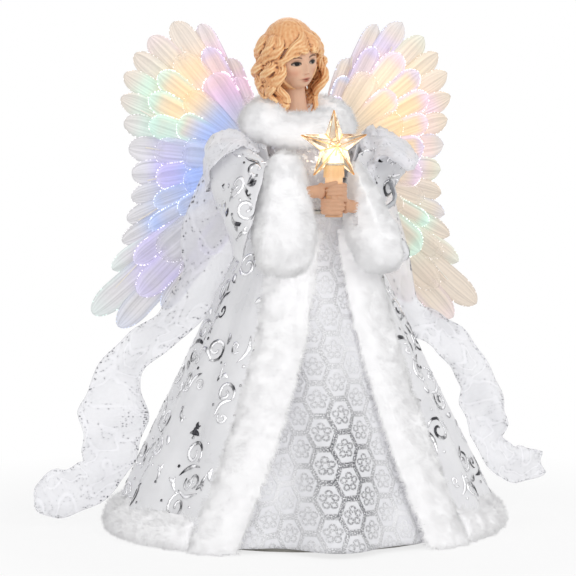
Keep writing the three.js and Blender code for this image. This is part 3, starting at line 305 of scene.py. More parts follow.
def use_group(tree, group, place, size=None):
    made = add_node(tree, "Group", node_tree=group)
    wire(tree, made.inputs[0], place)
    if size is not None:
        wire(tree, made.inputs[1], size)
    return made.outputs


weave_group, weave_in, weave_out = open_group(
    "woven_threads", [("Place", VECTOR), ("Threads", FLOAT)], ["Height", "Tone"])
thread_place = scaled(weave_group, weave_in["Place"], weave_in["Threads"])
thread_axes = add_node(weave_group, "SeparateXYZ", {0: thread_place}).outputs
warp, weft = (calc(weave_group, "ABSOLUTE", calc(weave_group, "SINE", thread_axes[axis])) for axis in "XY")
slub = cloudy(weave_group, thread_place, SLUB_SCALE, 3.0)
wire(weave_group, weave_out["Height"], calc(weave_group, "MAXIMUM", warp, weft))
wire(weave_group, weave_out["Tone"], calc(weave_group, "MULTIPLY_ADD", slub, 0.7, 0.3))

mottle_group, mottle_in, mottle_out = open_group(
    "mottle", [("Place", VECTOR), ("Scale", FLOAT)], ["Tone", "Height"])
fine_scale = calc(mottle_group, "MULTIPLY", mottle_in["Scale"], FINE_GRAIN)
wire(mottle_group, mottle_out["Tone"], cloudy(mottle_group, mottle_in["Place"], mottle_in["Scale"], 4.0))
wire(mottle_group, mottle_out["Height"], cloudy(mottle_group, mottle_in["Place"], fine_scale, 2.0))
print("node groups:", weave_group.name, mottle_group.name)

# %% [markdown]
# ## From a bmesh to a piece
# Each piece is a mesh in the frame's own place, riding on one body. A soft solid is often the best start
# for the cloth that stands for it: its loose triangles are merged, joined into squares and made finer.

# %% Helpers for pieces
SAME_POINT = 0.01 * MM
JOIN_ANGLE = math.radians(50)


def make_piece(name, bm, material, body="figure", stands_for=()):
    mesh = bpy.data.meshes.new(name)
    bm.to_mesh(mesh)
    bm.free()
    mesh.shade_smooth()
    mesh.materials.append(material)
    piece = bpy.data.objects.new(name, mesh)
    scene.collection.objects.link(piece)
    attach(piece, body)
    if stands_for:
        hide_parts(*stands_for)
    print("made", name, "with", len(mesh.polygons), "faces")
    return piece


def settle_modifiers(piece):
    depsgraph = bpy.context.evaluated_depsgraph_get()
    mesh = bpy.data.meshes.new_from_object(
        piece.evaluated_get(depsgraph), preserve_all_data_layers=True, depsgraph=depsgraph)
    piece.modifiers.clear()
    piece.data = mesh
    mesh.shade_smooth()
    print("settled", piece.name, "at", len(mesh.polygons), "faces")


def give_thickness(piece, thickness):
    wall = piece.modifiers.new("thickness", "SOLIDIFY")
    wall.thickness = thickness
    settle_modifiers(piece)


def relax(bm, rounds=1):
    for _ in range(rounds):
        bmesh.ops.smooth_vert(
            bm, verts=bm.verts, factor=0.5, use_axis_x=True, use_axis_y=True, use_axis_z=True)


def copy_solid(node, shape=None):
    bm = bmesh.new()
    bm.from_mesh(nodes[node].data)
    bmesh.ops.remove_doubles(bm, verts=bm.verts, dist=SAME_POINT)
    bmesh.ops.join_triangles(
        bm, faces=bm.faces, angle_face_threshold=JOIN_ANGLE, angle_shape_threshold=JOIN_ANGLE)
    for _ in range(2):
        bmesh.ops.subdivide_edges(bm, edges=bm.edges, cuts=1, use_grid_fill=True)
        relax(bm)
    bmesh.ops.recalc_face_normals(bm, faces=bm.faces)
    bm.normal_update()
    if shape:
        for vert in bm.verts:
            vert.co = shape(vert.co / MM) * MM
    return bm


def swell(bm, height):
    bm.normal_update()
    moves = [vert.normal * height(vert) for vert in bm.verts]
    for vert, move in zip(bm.verts, moves):
        vert.co += move
    bm.normal_update()


def rough(place, size, seed=0.0):
    return noise.noise(Vector(place) / size + Vector((seed, 2 * seed, 3 * seed)))


print("piece helpers ready")

# %% [markdown]
# ## The shape of the dress
# The skirt and the robe are cones that flare from the waist to the hem, with folds that deepen on the way
# down. One set of measures gives every layer its place: the brocade skirt inside, the robe over it, open
# at the front from the waist to two wide edges at the hem.

# %% Dress measures
HEM_Z, WAIST_Z = (corner.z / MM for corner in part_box("inner_skirt"))
WAIST_RADIUS = 30.0
HEM_RADIUS = 113.0
FOLD_ROOM = 3.0
OPENING = {-1: (1.0, -69.0), 1: (11.0, 50.0)}
EDGE_WIDTH = 27.0
EDGE_SPREAD = 1.14
EDGE_BOW = 8.5
ROBE_SEAM = 1.85
PLEATS, PLEAT_TURN, PLEAT_DEPTH = 12, 0.09, 3.0
FRONT_RIDGE = (9.0, -0.05, 0.22)
LEFT_VALLEY = (6.0, -0.46, 0.2)
RIGHT_VALLEY = (4.0, 0.4, 0.16)
SKIRT_CREASE = 1.1
ROBE_FOLDS, FOLD_HEIGHT, FOLD_HOLLOW = 14, 7.0, 2.6
ROBE_EASE, ROBE_FLARE = 1.4, 6.5
ROBE_GATHERS, GATHER_DEPTH, ROBE_CREASE = 64, 0.5, 0.5
ROBE_CLEAR = 0.5


def hem_share(z):
    return (WAIST_Z - z) / (WAIST_Z - HEM_Z)


def skirt_radius(z):
    return mix(WAIST_RADIUS, HEM_RADIUS, hem_share(z))


def around(angle, radius, z):
    return Vector((radius * math.sin(angle), -radius * math.cos(angle), z)) * MM


def ring_rough(angle, times, height, seed):
    return rough((times * math.sin(angle), times * math.cos(angle), height), 1.0, seed)


def skirt_point(angle, z):
    def fold(depth, at, wide):
        return depth * bell(angle - at, wide)

    pleats = PLEAT_DEPTH * math.cos(PLEATS * (angle + PLEAT_TURN)) + fold(*FRONT_RIDGE)
    pleats -= fold(*LEFT_VALLEY) + fold(*RIGHT_VALLEY)
    crease = SKIRT_CREASE * ring_rough(angle, 8, z / 60, 3.0)
    return around(angle, skirt_radius(z) + hem_share(z) * (pleats + crease), z)


def opening_line(side, z):
    top, bottom = OPENING[side]
    envelope = skirt_radius(z) + FOLD_ROOM * hem_share(z)
    return math.asin(mix(top, bottom, hem_share(z)) / envelope), envelope


def bow_in(side, z):
    """The edges hang in a curve: halfway down they lie closer to the middle than a straight line would."""
    return -side * EDGE_BOW * math.sin(math.pi * clamp(hem_share(z))) / skirt_radius(z)


def robe_edge(side, z):
    angle, envelope = opening_line(side, z)
    return angle + side * EDGE_WIDTH / envelope + bow_in(side, z)


def edge_shape(side):
    def shape(place):
        angle, envelope = opening_line(side, place.z)
        middle = angle + side * 0.5 * EDGE_WIDTH / envelope
        turn = math.atan2(place.x, -place.y)
        spread = middle + EDGE_SPREAD * (turn - middle) + bow_in(side, place.z)
        return around(spread, math.hypot(place.x, place.y), place.z) / MM

    return shape


def robe_point(angle, z):
    share = hem_share(z)
    drift = 0.35 * ring_rough(angle, 2, z / 90, 5.0)
    depth = 0.8 + 0.5 * ring_rough(angle, 3, 0.3, 7.0)
    flare = ROBE_EASE + ROBE_FLARE * share * math.sin(angle) ** 2
    swing = (1 + math.cos(ROBE_FOLDS * (angle + 0.25 * drift))) / 2
    folds = share * depth * (FOLD_HEIGHT * swing - FOLD_HOLLOW * (1 - swing) ** 3)
    gathers = GATHER_DEPTH * (1 - share) ** 3 * math.cos(ROBE_GATHERS * angle + 6 * drift)
    creases = ROBE_CREASE * ring_rough(angle, 14, z / 30, 9.0) * ease(0.0, 0.3, share)
    radius = skirt_radius(z) + FOLD_ROOM * share + flare + folds + gathers + creases + ROBE_CLEAR
    return around(angle, radius, z)


print("dress: hem", HEM_Z, "mm, waist", WAIST_Z, "mm")

# %% [markdown]
# ## White plush
# The collar, cuffs, front edges and hem are strips of white plush. Painted bumps stay smooth at the
# outline, and particle hair can't leave the scene as a mesh. So a padded base carries tens of thousands
# of thin spikes, which Geometry Nodes plants along its normals, combed down and tousled by a noise.

# %% Plush finish
# The plush glows a little in its own colour. This is painted light: it stands in for light scattered inside the
# white fur and brightens its shaded sides.
PLUSH_PAINTED_GLOW = 0.3

plush, tree, shader = new_finish("white_plush", Roughness=0.85, Sheen_Weight=0.5, Sheen_Roughness=0.5)
tuft_tone = use_group(tree, mottle_group, object_place(tree), 60.0)["Tone"]
plush_share = calc(
    tree, "MULTIPLY_ADD", attribute(tree, "strand_tone"), 0.5, calc(tree, "MULTIPLY", tuft_tone, 0.5))
plush_colour = blend_colours(tree, plush_share, tint(224, 223, 225), tint(244, 244, 244))
feed(tree, shader, Base_Color=plush_colour, Emission_Color=plush_colour, Emission_Strength=PLUSH_PAINTED_GLOW)
print("finish", plush.name)

# %% Plush pile
STRAND_LENGTH = 4.2 * MM
STRAND_RADIUS = 0.2 * MM
STRAND_SIZES = (0.6, 1.2)
TOUSLE_SCALE, TOUSLE_STRENGTH = 130.0, 3.0
COMB_DOWN = (0.5, 0.5, 0.62)
UPRIGHT = 0.5
STRAY = 0.4

strand_bm = bmesh.new()
bmesh.ops.create_cone(
    strand_bm, cap_ends=True, segments=3, radius1=STRAND_RADIUS, radius2=0.0, depth=STRAND_LENGTH)
bmesh.ops.translate(strand_bm, verts=strand_bm.verts, vec=(0, 0, STRAND_LENGTH / 2))
bmesh.ops.remove_doubles(strand_bm, verts=strand_bm.verts, dist=0.001 * MM)
strand_mesh = bpy.data.meshes.new("strand")
strand_bm.to_mesh(strand_mesh)
strand_bm.free()
strand_mesh.materials.append(plush)
strand = bpy.data.objects.new("strand", strand_mesh)
scene.collection.objects.link(strand)

pile = bpy.data.node_groups.new("plush_pile", "GeometryNodeTree")
pile.interface.new_socket("Geometry", in_out="INPUT", socket_type="NodeSocketGeometry")
density_socket = pile.interface.new_socket("Density", in_out="INPUT", socket_type="NodeSocketFloat")
seed_socket = pile.interface.new_socket("Seed", in_out="INPUT", socket_type="NodeSocketInt")
pile.interface.new_socket("Geometry", in_out="OUTPUT", socket_type="NodeSocketGeometry")
pile_in = pile.nodes.new("NodeGroupInput").outputs
pile_out = pile.nodes.new("NodeGroupOutput").inputs
covered = add_node(pile, "GeometryNodeInputNamedAttribute", {"Name": "pile"}).outputs["Attribute"]
roots = add_node(pile, "GeometryNodeDistributePointsOnFaces", {
    "Mesh": pile_in["Geometry"], "Density": calc(pile, "MULTIPLY", pile_in["Density"], covered),
    "Seed": pile_in["Seed"]}).outputs
root_place = add_node(pile, "GeometryNodeInputPosition").outputs[0]
tousle = add_node(
    pile, "TexNoise", {"Vector": root_place, "Scale": TOUSLE_SCALE, "Detail": 2.0}).outputs["Color"]
tousle = scaled(pile, vector_calc(pile, "SUBTRACT", tousle, COMB_DOWN), TOUSLE_STRENGTH)
stray = add_node(
    pile, "FunctionNodeRandomValue", {0: (-STRAY,) * 3, 1: (STRAY,) * 3, "Seed": 5},
    data_type="FLOAT_VECTOR").outputs[0]
lean = vector_calc(pile, "ADD", scaled(pile, roots["Normal"], UPRIGHT), tousle)
lean = vector_calc(pile, "ADD", lean, stray)
turned = add_node(pile, "FunctionNodeAlignRotationToVector", {"Vector": lean}, axis="Z").outputs[0]


def random_share(low, high, seed):
    return add_node(
        pile, "FunctionNodeRandomValue", {2: low, 3: high, "Seed": seed}, data_type="FLOAT").outputs[1]


def store(geometry, name, value, data_type, domain):
    return add_node(
        pile, "GeometryNodeStoreNamedAttribute", {"Geometry": geometry, "Name": name, "Value": value},
        data_type=data_type, domain=domain).outputs[0]


strand_shape = add_node(pile, "GeometryNodeObjectInfo", {"Object": strand}).outputs["Geometry"]
planted = add_node(pile, "GeometryNodeInstanceOnPoints", {
    "Points": store(roots["Points"], "facing", roots["Normal"], "FLOAT_VECTOR", "POINT"),
    "Instance": strand_shape, "Rotation": turned, "Scale": random_share(*STRAND_SIZES, 7)}).outputs[0]
toned = store(planted, "strand_tone", random_share(0.0, 1.0, 9), "FLOAT", "INSTANCE")
grown = add_node(pile, "GeometryNodeRealizeInstances", {"Geometry": toned}).outputs[0]
wire(pile, pile_out["Geometry"], grown)
print("pile node group with", len(pile.nodes), "nodes")

# %% Plush strips
PILE_INSET = 1.0 * MM
STRANDS_PER_PIECE = 42000
LUMP_SIZES = (9 * MM, 22 * MM)
FLOOR_GAP = 0.1 * MM
TURNED_IN = -0.3


def lay_normals(mesh):
    """Gives every strand the normal of the cloth at its root, and keeps the strands above the floor."""
    places, facing = (numpy.zeros(len(mesh.vertices) * 3, numpy.float32) for _ in range(2))
    mesh.vertices.foreach_get("co", places)
    mesh.attributes["facing"].data.foreach_get("vector", facing)
    places[2::3] = numpy.maximum(places[2::3], FLOOR_GAP)
    mesh.vertices.foreach_set("co", places)
    mesh.normals_split_custom_set_from_vertices(facing.reshape(-1, 3))


def plush_piece(name, node, seed, shape, all_round, lumps):
    def lumpy(vert):
        small, large = (rough(vert.co, size, seed + 5 * step) for step, size in enumerate(LUMP_SIZES))
        return (lumps[0] * small + lumps[1] * large) * MM - PILE_INSET

    bm = copy_solid(node, shape)
    swell(bm, lumpy)
    cover = bm.verts.layers.float.new("pile")
    for vert in bm.verts:
        outward = Vector((vert.co.x, vert.co.y, 0.0)).normalized()
        vert[cover] = 1.0 if all_round or vert.normal.dot(outward) > TURNED_IN else 0.0
    area = sum(
        face.calc_area() * sum(vert[cover] for vert in face.verts) / len(face.verts) for face in bm.faces)
    strands_bm = bm.copy()
    piece = make_piece(name + "_plush", bm, plush, stands_for=(node,))
    strands = make_piece(name + "_pile", strands_bm, plush)
    grower = strands.modifiers.new("pile", "NODES")
    grower.node_group = pile
    grower[density_socket.identifier] = STRANDS_PER_PIECE / area
    grower[seed_socket.identifier] = seed
    settle_modifiers(strands)
    lay_normals(strands.data)
    strands.visible_shadow = False
    strands.visible_diffuse = False


print("plush is planted with", STRANDS_PER_PIECE, "strands a piece")

# %% Collar and cuff shapes
COLLAR_X, COLLAR_Z = -5.0, 256.0
COLLAR_RING = (26.0, 20.0)
COLLAR_RADIUS = 10.5
COLLAR_GROW, COLLAR_RISE, COLLAR_SLOPE = 0.12, 4.0, 0.42
CUFF_WALL = 11.5
CUFF_MOUTH = 0.22
CUFF_FILL = 2.0
CUFF_LEAN_Z = 175.0
CUFF_LEAN = {"left": (2.6, 1.2, 0.0072), "right": (25.8, 1.14, 0.0135)}
CUFF_NARROWEST, CUFF_WIDEST = 0.25, 1.18
CUFFS = {
    "left": ((-30, -55, 207), (0.96, -0.28, 0), 39, 21),
    "right": ((31, -55, 204), (-0.9, -0.43, 0), 35, 20),
}
ACROSS_CHEST = Vector((0.966, -0.259, 0.0))


def collar_shape(place):
    """A shawl of plush: it slopes up to the neck, and stands highest at the sides and the back."""
    x, y, z = place.x - COLLAR_X, place.y, place.z - COLLAR_Z
    wide, deep = COLLAR_RING
    away = max(0.1, math.hypot(x / wide, y / deep))
    side = 1 - ease(0.35, 1.0, max(0.0, -y / deep) / away)
    grow = 1 + COLLAR_GROW * side
    flat = Vector((x, y, 0.0))
    ring = flat / away
    outside = (flat - ring).dot(ring.normalized())
    x, y = ring.x + (x - ring.x) * grow, ring.y + (y - ring.y) * grow
    slope = COLLAR_SLOPE * (COLLAR_RADIUS - outside)
    return Vector((x + COLLAR_X, y, COLLAR_Z + z * grow + COLLAR_RISE * side + slope))


def narrowed(spot, still, low, slope):
    """Draws a spot towards the line that stays still, the more the higher it lies."""
    narrow = min(CUFF_WIDEST, max(CUFF_NARROWEST, low - slope * (spot.z - CUFF_LEAN_Z)))
    return spot + ACROSS_CHEST * (spot.dot(ACROSS_CHEST) - still) * (narrow - 1)


def cuff_shape(side):
    """A cuff hangs fuller below its middle. Its plush fills the mouth, and it narrows to its top."""
    centre, facing, half_tall, half_wide = CUFFS[side]
    along = Vector(facing).normalized()
    down = Vector((0.0, -0.25, -1.0)).normalized()
    across = along.cross(down).normalized()
    centre = Vector(centre)

    def shape(place):
        away = place - centre
        depth, drop, aside = away.dot(along), away.dot(down), away.dot(across)
        inner = math.hypot(drop / (half_tall - CUFF_WALL), aside / (half_wide - CUFF_WALL))
        outer = math.hypot(drop / half_tall, aside / half_wide)
        through = (inner - 1) / max(0.05, inner / max(outer, 0.05) - 1)
        solid = ease(0.0, 0.8, through)
        fill = mix(CUFF_MOUTH, 1.0, solid)
        full = fill * (0.94 + 0.14 * ease(-30.0, 30.0, drop))
        depth += CUFF_FILL * (1 - solid)
        spot = centre + along * depth + down * drop * fill + across * aside * full
        return narrowed(spot, *CUFF_LEAN[side])

    return shape


# Name, solid, shape, whether the pile goes all round, and how high the small and the large lumps are.
PLUSH_STRIPS = (
    ("collar", "fur_collar", collar_shape, True, (0.5, 0.8)),
    ("left_cuff", "cuff_left", cuff_shape("left"), True, (0.8, 1.4)),
    ("right_cuff", "cuff_right", cuff_shape("right"), True, (0.8, 1.4)),
    ("left_edge", "front_trim_left", edge_shape(-1), False, (0.4, 0.7)),
    ("right_edge", "front_trim_right", edge_shape(1), False, (0.4, 0.7)),
    ("hem", "hem_trim", None, False, (0.5, 0.9)),
)
for number, (name, node, shape, all_round, lumps) in enumerate(PLUSH_STRIPS):
    plush_piece(name, node, number + 1, shape, all_round, lumps)
bpy.data.objects.remove(strand)

# %% [markdown]
# ## Brocade skirt
# The inner skirt is a white brocade: a lattice of long six-sided cells outlined in silver, with a flower of
# five rings in each. The cloth is a spun cone whose points are moved into folds. Its map unrolls the cone,
# in millimetres, so the cells keep one size, and the pattern is worked out from that map.


def cone_map(bm):
    slope = math.atan2(HEM_RADIUS - WAIST_RADIUS, WAIST_Z - HEM_Z)
    layer = bm.loops.layers.uv.new("cut")
    for face in bm.faces:
        turns = [math.atan2(loop.vert.co.x, -loop.vert.co.y) for loop in face.loops]
        wraps = max(turns) - min(turns) > math.pi
        for loop, turn in zip(face.loops, turns):
            turn = turn + TURN if wraps and turn < 0 else turn
            slant = skirt_radius(loop.vert.co.z / MM) / math.sin(slope)
            swing = turn * math.sin(slope)
            loop[layer].uv = (slant * math.sin(swing), -slant * math.cos(swing))


# %% Lattice of cells
CELL_WIDTH = 17.0
CELL_HEIGHT = 21.0
OUTLINE_EDGE = (0.79, 0.87)
PETALS, PETAL_TURN = 5, 0.05
PETAL_REACH = (3.6, 4.0)
PETAL_RADIUS = 1.7
PETAL_EDGE = (0.9, 0.35)

cells_group, cells_in, cells_out = open_group("lattice_cells", [("Place", VECTOR)], ["Outline", "Flower"])


def cell_calc(operation, *terms):
    return calc(cells_group, operation, *terms)


axes = add_node(cells_group, "SeparateXYZ", {0: cells_in["Place"]}).outputs
columns = cell_calc("DIVIDE", axes["X"], CELL_WIDTH * 0.75)
rows = cell_calc("DIVIDE", axes["Y"], CELL_HEIGHT)


def cell_offsets(shift):
    """Where a place lies from the middle of its cell, in one of the two sets of columns."""
    column = cell_calc("FRACT", cell_calc("DIVIDE", cell_calc("ADD", columns, shift), 2.0))
    row = cell_calc("FRACT", cell_calc("ADD", rows, shift / 2))
    return (cell_calc("MULTIPLY", cell_calc("SUBTRACT", column, 0.5), 1.5 * CELL_WIDTH),
            cell_calc("MULTIPLY", cell_calc("SUBTRACT", row, 0.5), CELL_HEIGHT))


def cell_reach(offsets):
    """0 in the middle of a cell and 1 on its six sides."""
    x, y = (cell_calc("ABSOLUTE", offset) for offset in offsets)
    slanted = cell_calc("ADD", cell_calc("DIVIDE", x, CELL_WIDTH / 2), cell_calc("DIVIDE", y, CELL_HEIGHT))
    return cell_calc("MAXIMUM", cell_calc("DIVIDE", y, CELL_HEIGHT / 2), slanted)


even, odd = cell_offsets(0.0), cell_offsets(1.0)
even_reach, odd_reach = cell_reach(even), cell_reach(odd)
in_even = cell_calc("LESS_THAN", even_reach, odd_reach)
in_odd = cell_calc("SUBTRACT", 1.0, in_even)
cell_x, cell_y = (
    cell_calc("ADD", cell_calc("MULTIPLY", in_even, a), cell_calc("MULTIPLY", in_odd, b))
    for a, b in zip(even, odd))
petals = None
for petal in range(PETALS):
    turn = TURN * (petal / PETALS + PETAL_TURN)
    dx = cell_calc("SUBTRACT", cell_x, PETAL_REACH[0] * math.cos(turn))
    dy = cell_calc("SUBTRACT", cell_y, PETAL_REACH[1] * math.sin(turn))
    away = cell_calc("SQRT", cell_calc("ADD", cell_calc("MULTIPLY", dx, dx), cell_calc("MULTIPLY", dy, dy)))
    ring = cell_calc("ABSOLUTE", cell_calc("SUBTRACT", away, PETAL_RADIUS))
    petals = ring if petals is None else cell_calc("MINIMUM", petals, ring)
edge_reach = cell_calc("MINIMUM", even_reach, odd_reach)
wire(cells_group, cells_out["Outline"], remap(cells_group, edge_reach, *OUTLINE_EDGE))
wire(cells_group, cells_out["Flower"], remap(cells_group, petals, *PETAL_EDGE))
print("lattice of cells", CELL_WIDTH, "x", CELL_HEIGHT, "mm")

# %% Brocade finish
PAINTED_SHINE_PLACE = {"Location": (0.05, 0.0, -0.9), "Scale": (42.0, 0.0, 19.0)}

brocade, tree, shader = new_finish("white_brocade", Roughness=0.5, Sheen_Weight=0.2)
cut = add_node(tree, "UVMap", uv_map="cut").outputs[0]
lattice = use_group(tree, cells_group, cut)
threads = use_group(tree, weave_group, cut, 5.0)
glitter = remap(tree, cloudy(tree, cut, 1.3, 2.0), 0.36, 0.54)
# A noise gives real wear of the silver. A band across the front is a painted reflection: there the silver outlines
# are darker and more metallic, as where they catch the light.
wear_and_painted_shine = remap(tree, cloudy(tree, cut, 0.03, 1.0), 0.28, 0.58)
shine = remap(tree, length_of(tree, mapped(tree, object_place(tree), **PAINTED_SHINE_PLACE)), 1.5, 0.5)
wear_and_painted_shine = calc(tree, "MAXIMUM", calc(tree, "MULTIPLY", wear_and_painted_shine, 0.45), shine)
pattern = calc(tree, "MAXIMUM", lattice["Outline"], calc(tree, "MULTIPLY", lattice["Flower"], 0.85))
silvered = calc(tree, "MULTIPLY", calc(tree, "MULTIPLY", pattern, glitter), wear_and_painted_shine)
ground = blend_colours(tree, threads["Tone"], tint(216, 216, 221), tint(240, 240, 243))
raised = blend_colours(tree, calc(tree, "MULTIPLY", pattern, 0.5), ground, tint(252, 252, 253))
relief = calc(tree, "MULTIPLY_ADD", threads["Height"], 0.12, pattern)
feed(
    tree, shader, Base_Color=blend_colours(tree, silvered, raised, tint(84, 84, 90)),
    Metallic=calc(tree, "MULTIPLY", silvered, 0.25),
    Roughness=calc(tree, "MULTIPLY_ADD", silvered, -0.22, 0.5), Normal=bump(tree, relief, 0.6, 0.5 * MM))
print("finish", brocade.name)

# %% Brocade skirt
SKIRT_STEPS = 240
SKIRT_ROWS = 60
SKIRT_LIFT = 2.5
SKIRT_CLOTH = 0.6 * MM
SPIN_RADIUS = 100.0

skirt_bm = bmesh.new()
profile = [
    skirt_bm.verts.new(around(0.0, SPIN_RADIUS, mix(HEM_Z + SKIRT_LIFT, WAIST_Z, row / SKIRT_ROWS)))
    for row in range(SKIRT_ROWS + 1)]
for lower, upper in zip(profile, profile[1:]):
    skirt_bm.edges.new((lower, upper))
bmesh.ops.spin(
    skirt_bm, geom=skirt_bm.verts[:] + skirt_bm.edges[:], axis=(0, 0, 1), cent=(0, 0, 0),
    angle=TURN, steps=SKIRT_STEPS, use_merge=True)
for vert in skirt_bm.verts:
    vert.co = skirt_point(math.atan2(vert.co.x, -vert.co.y), vert.co.z / MM)
bmesh.ops.recalc_face_normals(skirt_bm, faces=skirt_bm.faces)
cone_map(skirt_bm)
bmesh.ops.solidify(skirt_bm, geom=skirt_bm.faces, thickness=SKIRT_CLOTH)
skirt = make_piece("brocade_skirt", skirt_bm, brocade, stands_for=("inner_skirt",))

# %% [markdown]
# ## Satin robe
# Three satin panels meet at two side seams and hang in soft folds. Each is a grid wrapped round the cone,
# a little past the plush that covers its edges. Satin is smooth across its threads, so its finish is a low
# roughness with a faint weave and a sheen.

# %% Satin finish
satin, tree, shader = new_finish("white_satin", Sheen_Weight=0.3, Sheen_Roughness=0.4, Anisotropic=0.4)
place = object_place(tree)
threads = use_group(tree, weave_group, mapped(tree, place, Rotation=(1.2, 0.3, 0.5)), 9000.0)
cloud = use_group(tree, mottle_group, place, 45.0)
satin_relief = calc(tree, "MULTIPLY_ADD", cloud["Height"], 0.7, threads["Height"])
feed(
    tree, shader, Base_Color=blend_colours(tree, cloud["Tone"], tint(218, 218, 221), tint(243, 243, 245)),
    Roughness=calc(tree, "MULTIPLY_ADD", cloud["Tone"], 0.2, 0.2), Normal=bump(tree, satin_relief, 0.12))
print("finish", satin.name)

# %% Robe panels
ROBE_TOP = 202.5
ROBE_FOOT = 12.0
ROBE_HALF_WAY = 100.0
ROBE_ROWS = 100
ROBE_CLOTH = 0.5 * MM
UNDER_EDGE = 7.0


def surface_of(bm):
    """What the foil needs of a cloth: a tree to find its nearest place, and its faces to choose from."""
    places = [(face.calc_center_median(), face.normal.copy(), face.calc_area()) for face in bm.faces]
    return BVHTree.FromBMesh(bm), places


def robe_panel(name, node, columns, start, end):
    bm = bmesh.new()
    bmesh.ops.create_grid(bm, x_segments=columns, y_segments=ROBE_ROWS, size=1.0)
    for vert in bm.verts:
        across, up = (vert.co.x + 1) / 2, (vert.co.y + 1) / 2
        z = mix(ROBE_FOOT, ROBE_TOP, up)
        vert.co = robe_point(mix(start(z), end(z), across), z)
    bmesh.ops.recalc_face_normals(bm, faces=bm.faces)
    middle = min(bm.faces, key=lambda face: abs(face.calc_center_median().z - ROBE_HALF_WAY * MM))
    centre = middle.calc_center_median()
    if middle.normal.dot(Vector((centre.x, centre.y, 0.0))) < 0:
        bmesh.ops.reverse_faces(bm, faces=bm.faces)
    surface, places = surface_of(bm)
    bmesh.ops.solidify(bm, geom=bm.faces, thickness=ROBE_CLOTH)
    return make_piece(name, bm, satin, stands_for=(node,)), surface, places


def edge_line(side):
    return lambda z: robe_edge(side, z) - side * UNDER_EDGE / skirt_radius(z)


robe_parts = {
    "left": robe_panel("robe_panel_left", "robe_left_front", 80, lambda z: -ROBE_SEAM, edge_line(-1)),
    "back": robe_panel("robe_panel_back", "robe_back", 170, lambda z: ROBE_SEAM, lambda z: TURN - ROBE_SEAM),
    "right": robe_panel("robe_panel_right", "robe_right_front", 80, edge_line(1), lambda z: ROBE_SEAM),
}

# %% Yoke and sleeves
SLEEVE_CREASE, SLEEVE_PUFF = 1.9, 1.9
YOKE_CREASE = 0.8
UNDER_COLLAR = 9.0
SLEEVE_DRAW_TALL = 19.0
SLEEVE_DRAWN = {"left": (186.0, 9.0), "right": (208.0, 14.0)}


def soft_copy(name, node, material, wrinkle, seed, shape):
    bm = copy_solid(node, shape)
    swell(bm, lambda vert: wrinkle(vert, seed))
    surface, places = surface_of(bm)
    return make_piece(name, bm, material, stands_for=(node,)), surface, places


def sleeve_wrinkle(vert, seed):
    place = vert.co / MM
    slant = place.z + 0.5 * place.x
    creases = rough((place.x * 0.9, place.y * 0.45, slant * 0.22), 6.0, seed)
    return (SLEEVE_CREASE * creases + SLEEVE_PUFF * rough(place, 15.0, seed + 1)) * MM


def yoke_wrinkle(vert, seed):
    x, y, z = (measure / MM for measure in vert.co)
    return YOKE_CREASE * MM * rough((x, y, z * 0.3), 7.0, seed)


def sleeve_shape(side):
    """Draws the outer side of a sleeve in round one height, and its mouth in with the cuff."""
    at_z, amount = SLEEVE_DRAWN[side]

    def shape(place):
        away = abs(place.dot(ACROSS_CHEST))
        pull = amount * bell(place.z - at_z, SLEEVE_DRAW_TALL) * ease(30.0, 60.0, away)
        drawn = place - ACROSS_CHEST * math.copysign(pull, place.x)
        return drawn.lerp(narrowed(drawn, *CUFF_LEAN[side]), ease(20.0, 40.0, -place.y))

    return shape


def run_up(low, high, wider, deeper):
    """Runs the top of a cloth on up under the collar, where it is sewn in."""

    def shape(place):
        share = ease(low, high, place.z)
        return Vector((
            place.x * (1 + wider * share), place.y * (1 + deeper * share), place.z + UNDER_COLLAR * share))

    return shape


yoke_parts = soft_copy(
    "satin_yoke", "robe_yoke", satin, yoke_wrinkle, 11.0, run_up(222.0, 239.6, 0.34, 0.2))
sleeve_parts = {
    side: soft_copy(
        "satin_sleeve_" + side, "sleeve_" + side, satin, sleeve_wrinkle, seed, sleeve_shape(side))
    for side, seed in (("left", 12.0), ("right", 13.0))}

# %% [markdown]
# ## Silver foil
# The satin is printed with silver scrolls: curls that end in a ball, bent leaves and dots. Foil is flat and
# sharp, so each stroke is a narrow strip laid on the cloth, pressed to the nearest place on it and given a
# hair of thickness. Seeds keep the scatter the same each time.

# %% Foil finish
foil, tree, shader = new_finish("silver_foil", Metallic=1.0)
crackle_and_painted_reflection = use_group(tree, mottle_group, object_place(tree), 80.0)
# The foil's base colour runs from dark to bright grey in patches. This is a painted reflection of dark and light
# surroundings in the mirror-like foil. The same noise's height gives real roughness and bumps.
painted_reflection = remap(tree, crackle_and_painted_reflection["Tone"], 0.4, 0.52)
feed(
    tree, shader, Base_Color=blend_colours(tree, painted_reflection, tint(66, 66, 70), tint(250, 250, 252)),
    Roughness=calc(tree, "MULTIPLY_ADD", crackle_and_painted_reflection["Height"], 0.15, 0.12),
    Normal=bump(tree, crackle_and_painted_reflection["Height"], 0.25))
print("finish", foil.name)

# %% Foil strokes
CURL_STEPS, BOW_STEPS, DOT_STEPS = 18, 10, 6


def curl_stroke(size, turns, start, width):
    points = []
    for step in range(CURL_STEPS + 1):
        share = step / CURL_STEPS
        radius = size * (1 - 0.8 * share)
        angle = start + turns * TURN * share
        body = math.sin(math.pi * min(1.0, 0.12 + 0.8 * share)) ** 0.8
        points.append((radius * math.cos(angle), radius * math.sin(angle), width * (0.25 + body)))
    return points


def bow_stroke(length, bend, width, tip=0.1):
    points = []
    for step in range(BOW_STEPS + 1):
        share = step / BOW_STEPS
        body = math.sin(math.pi * share) ** 0.9
        points.append((length * (share - 0.5), bend * math.sin(math.pi * share), width * (tip + body)))
    return points


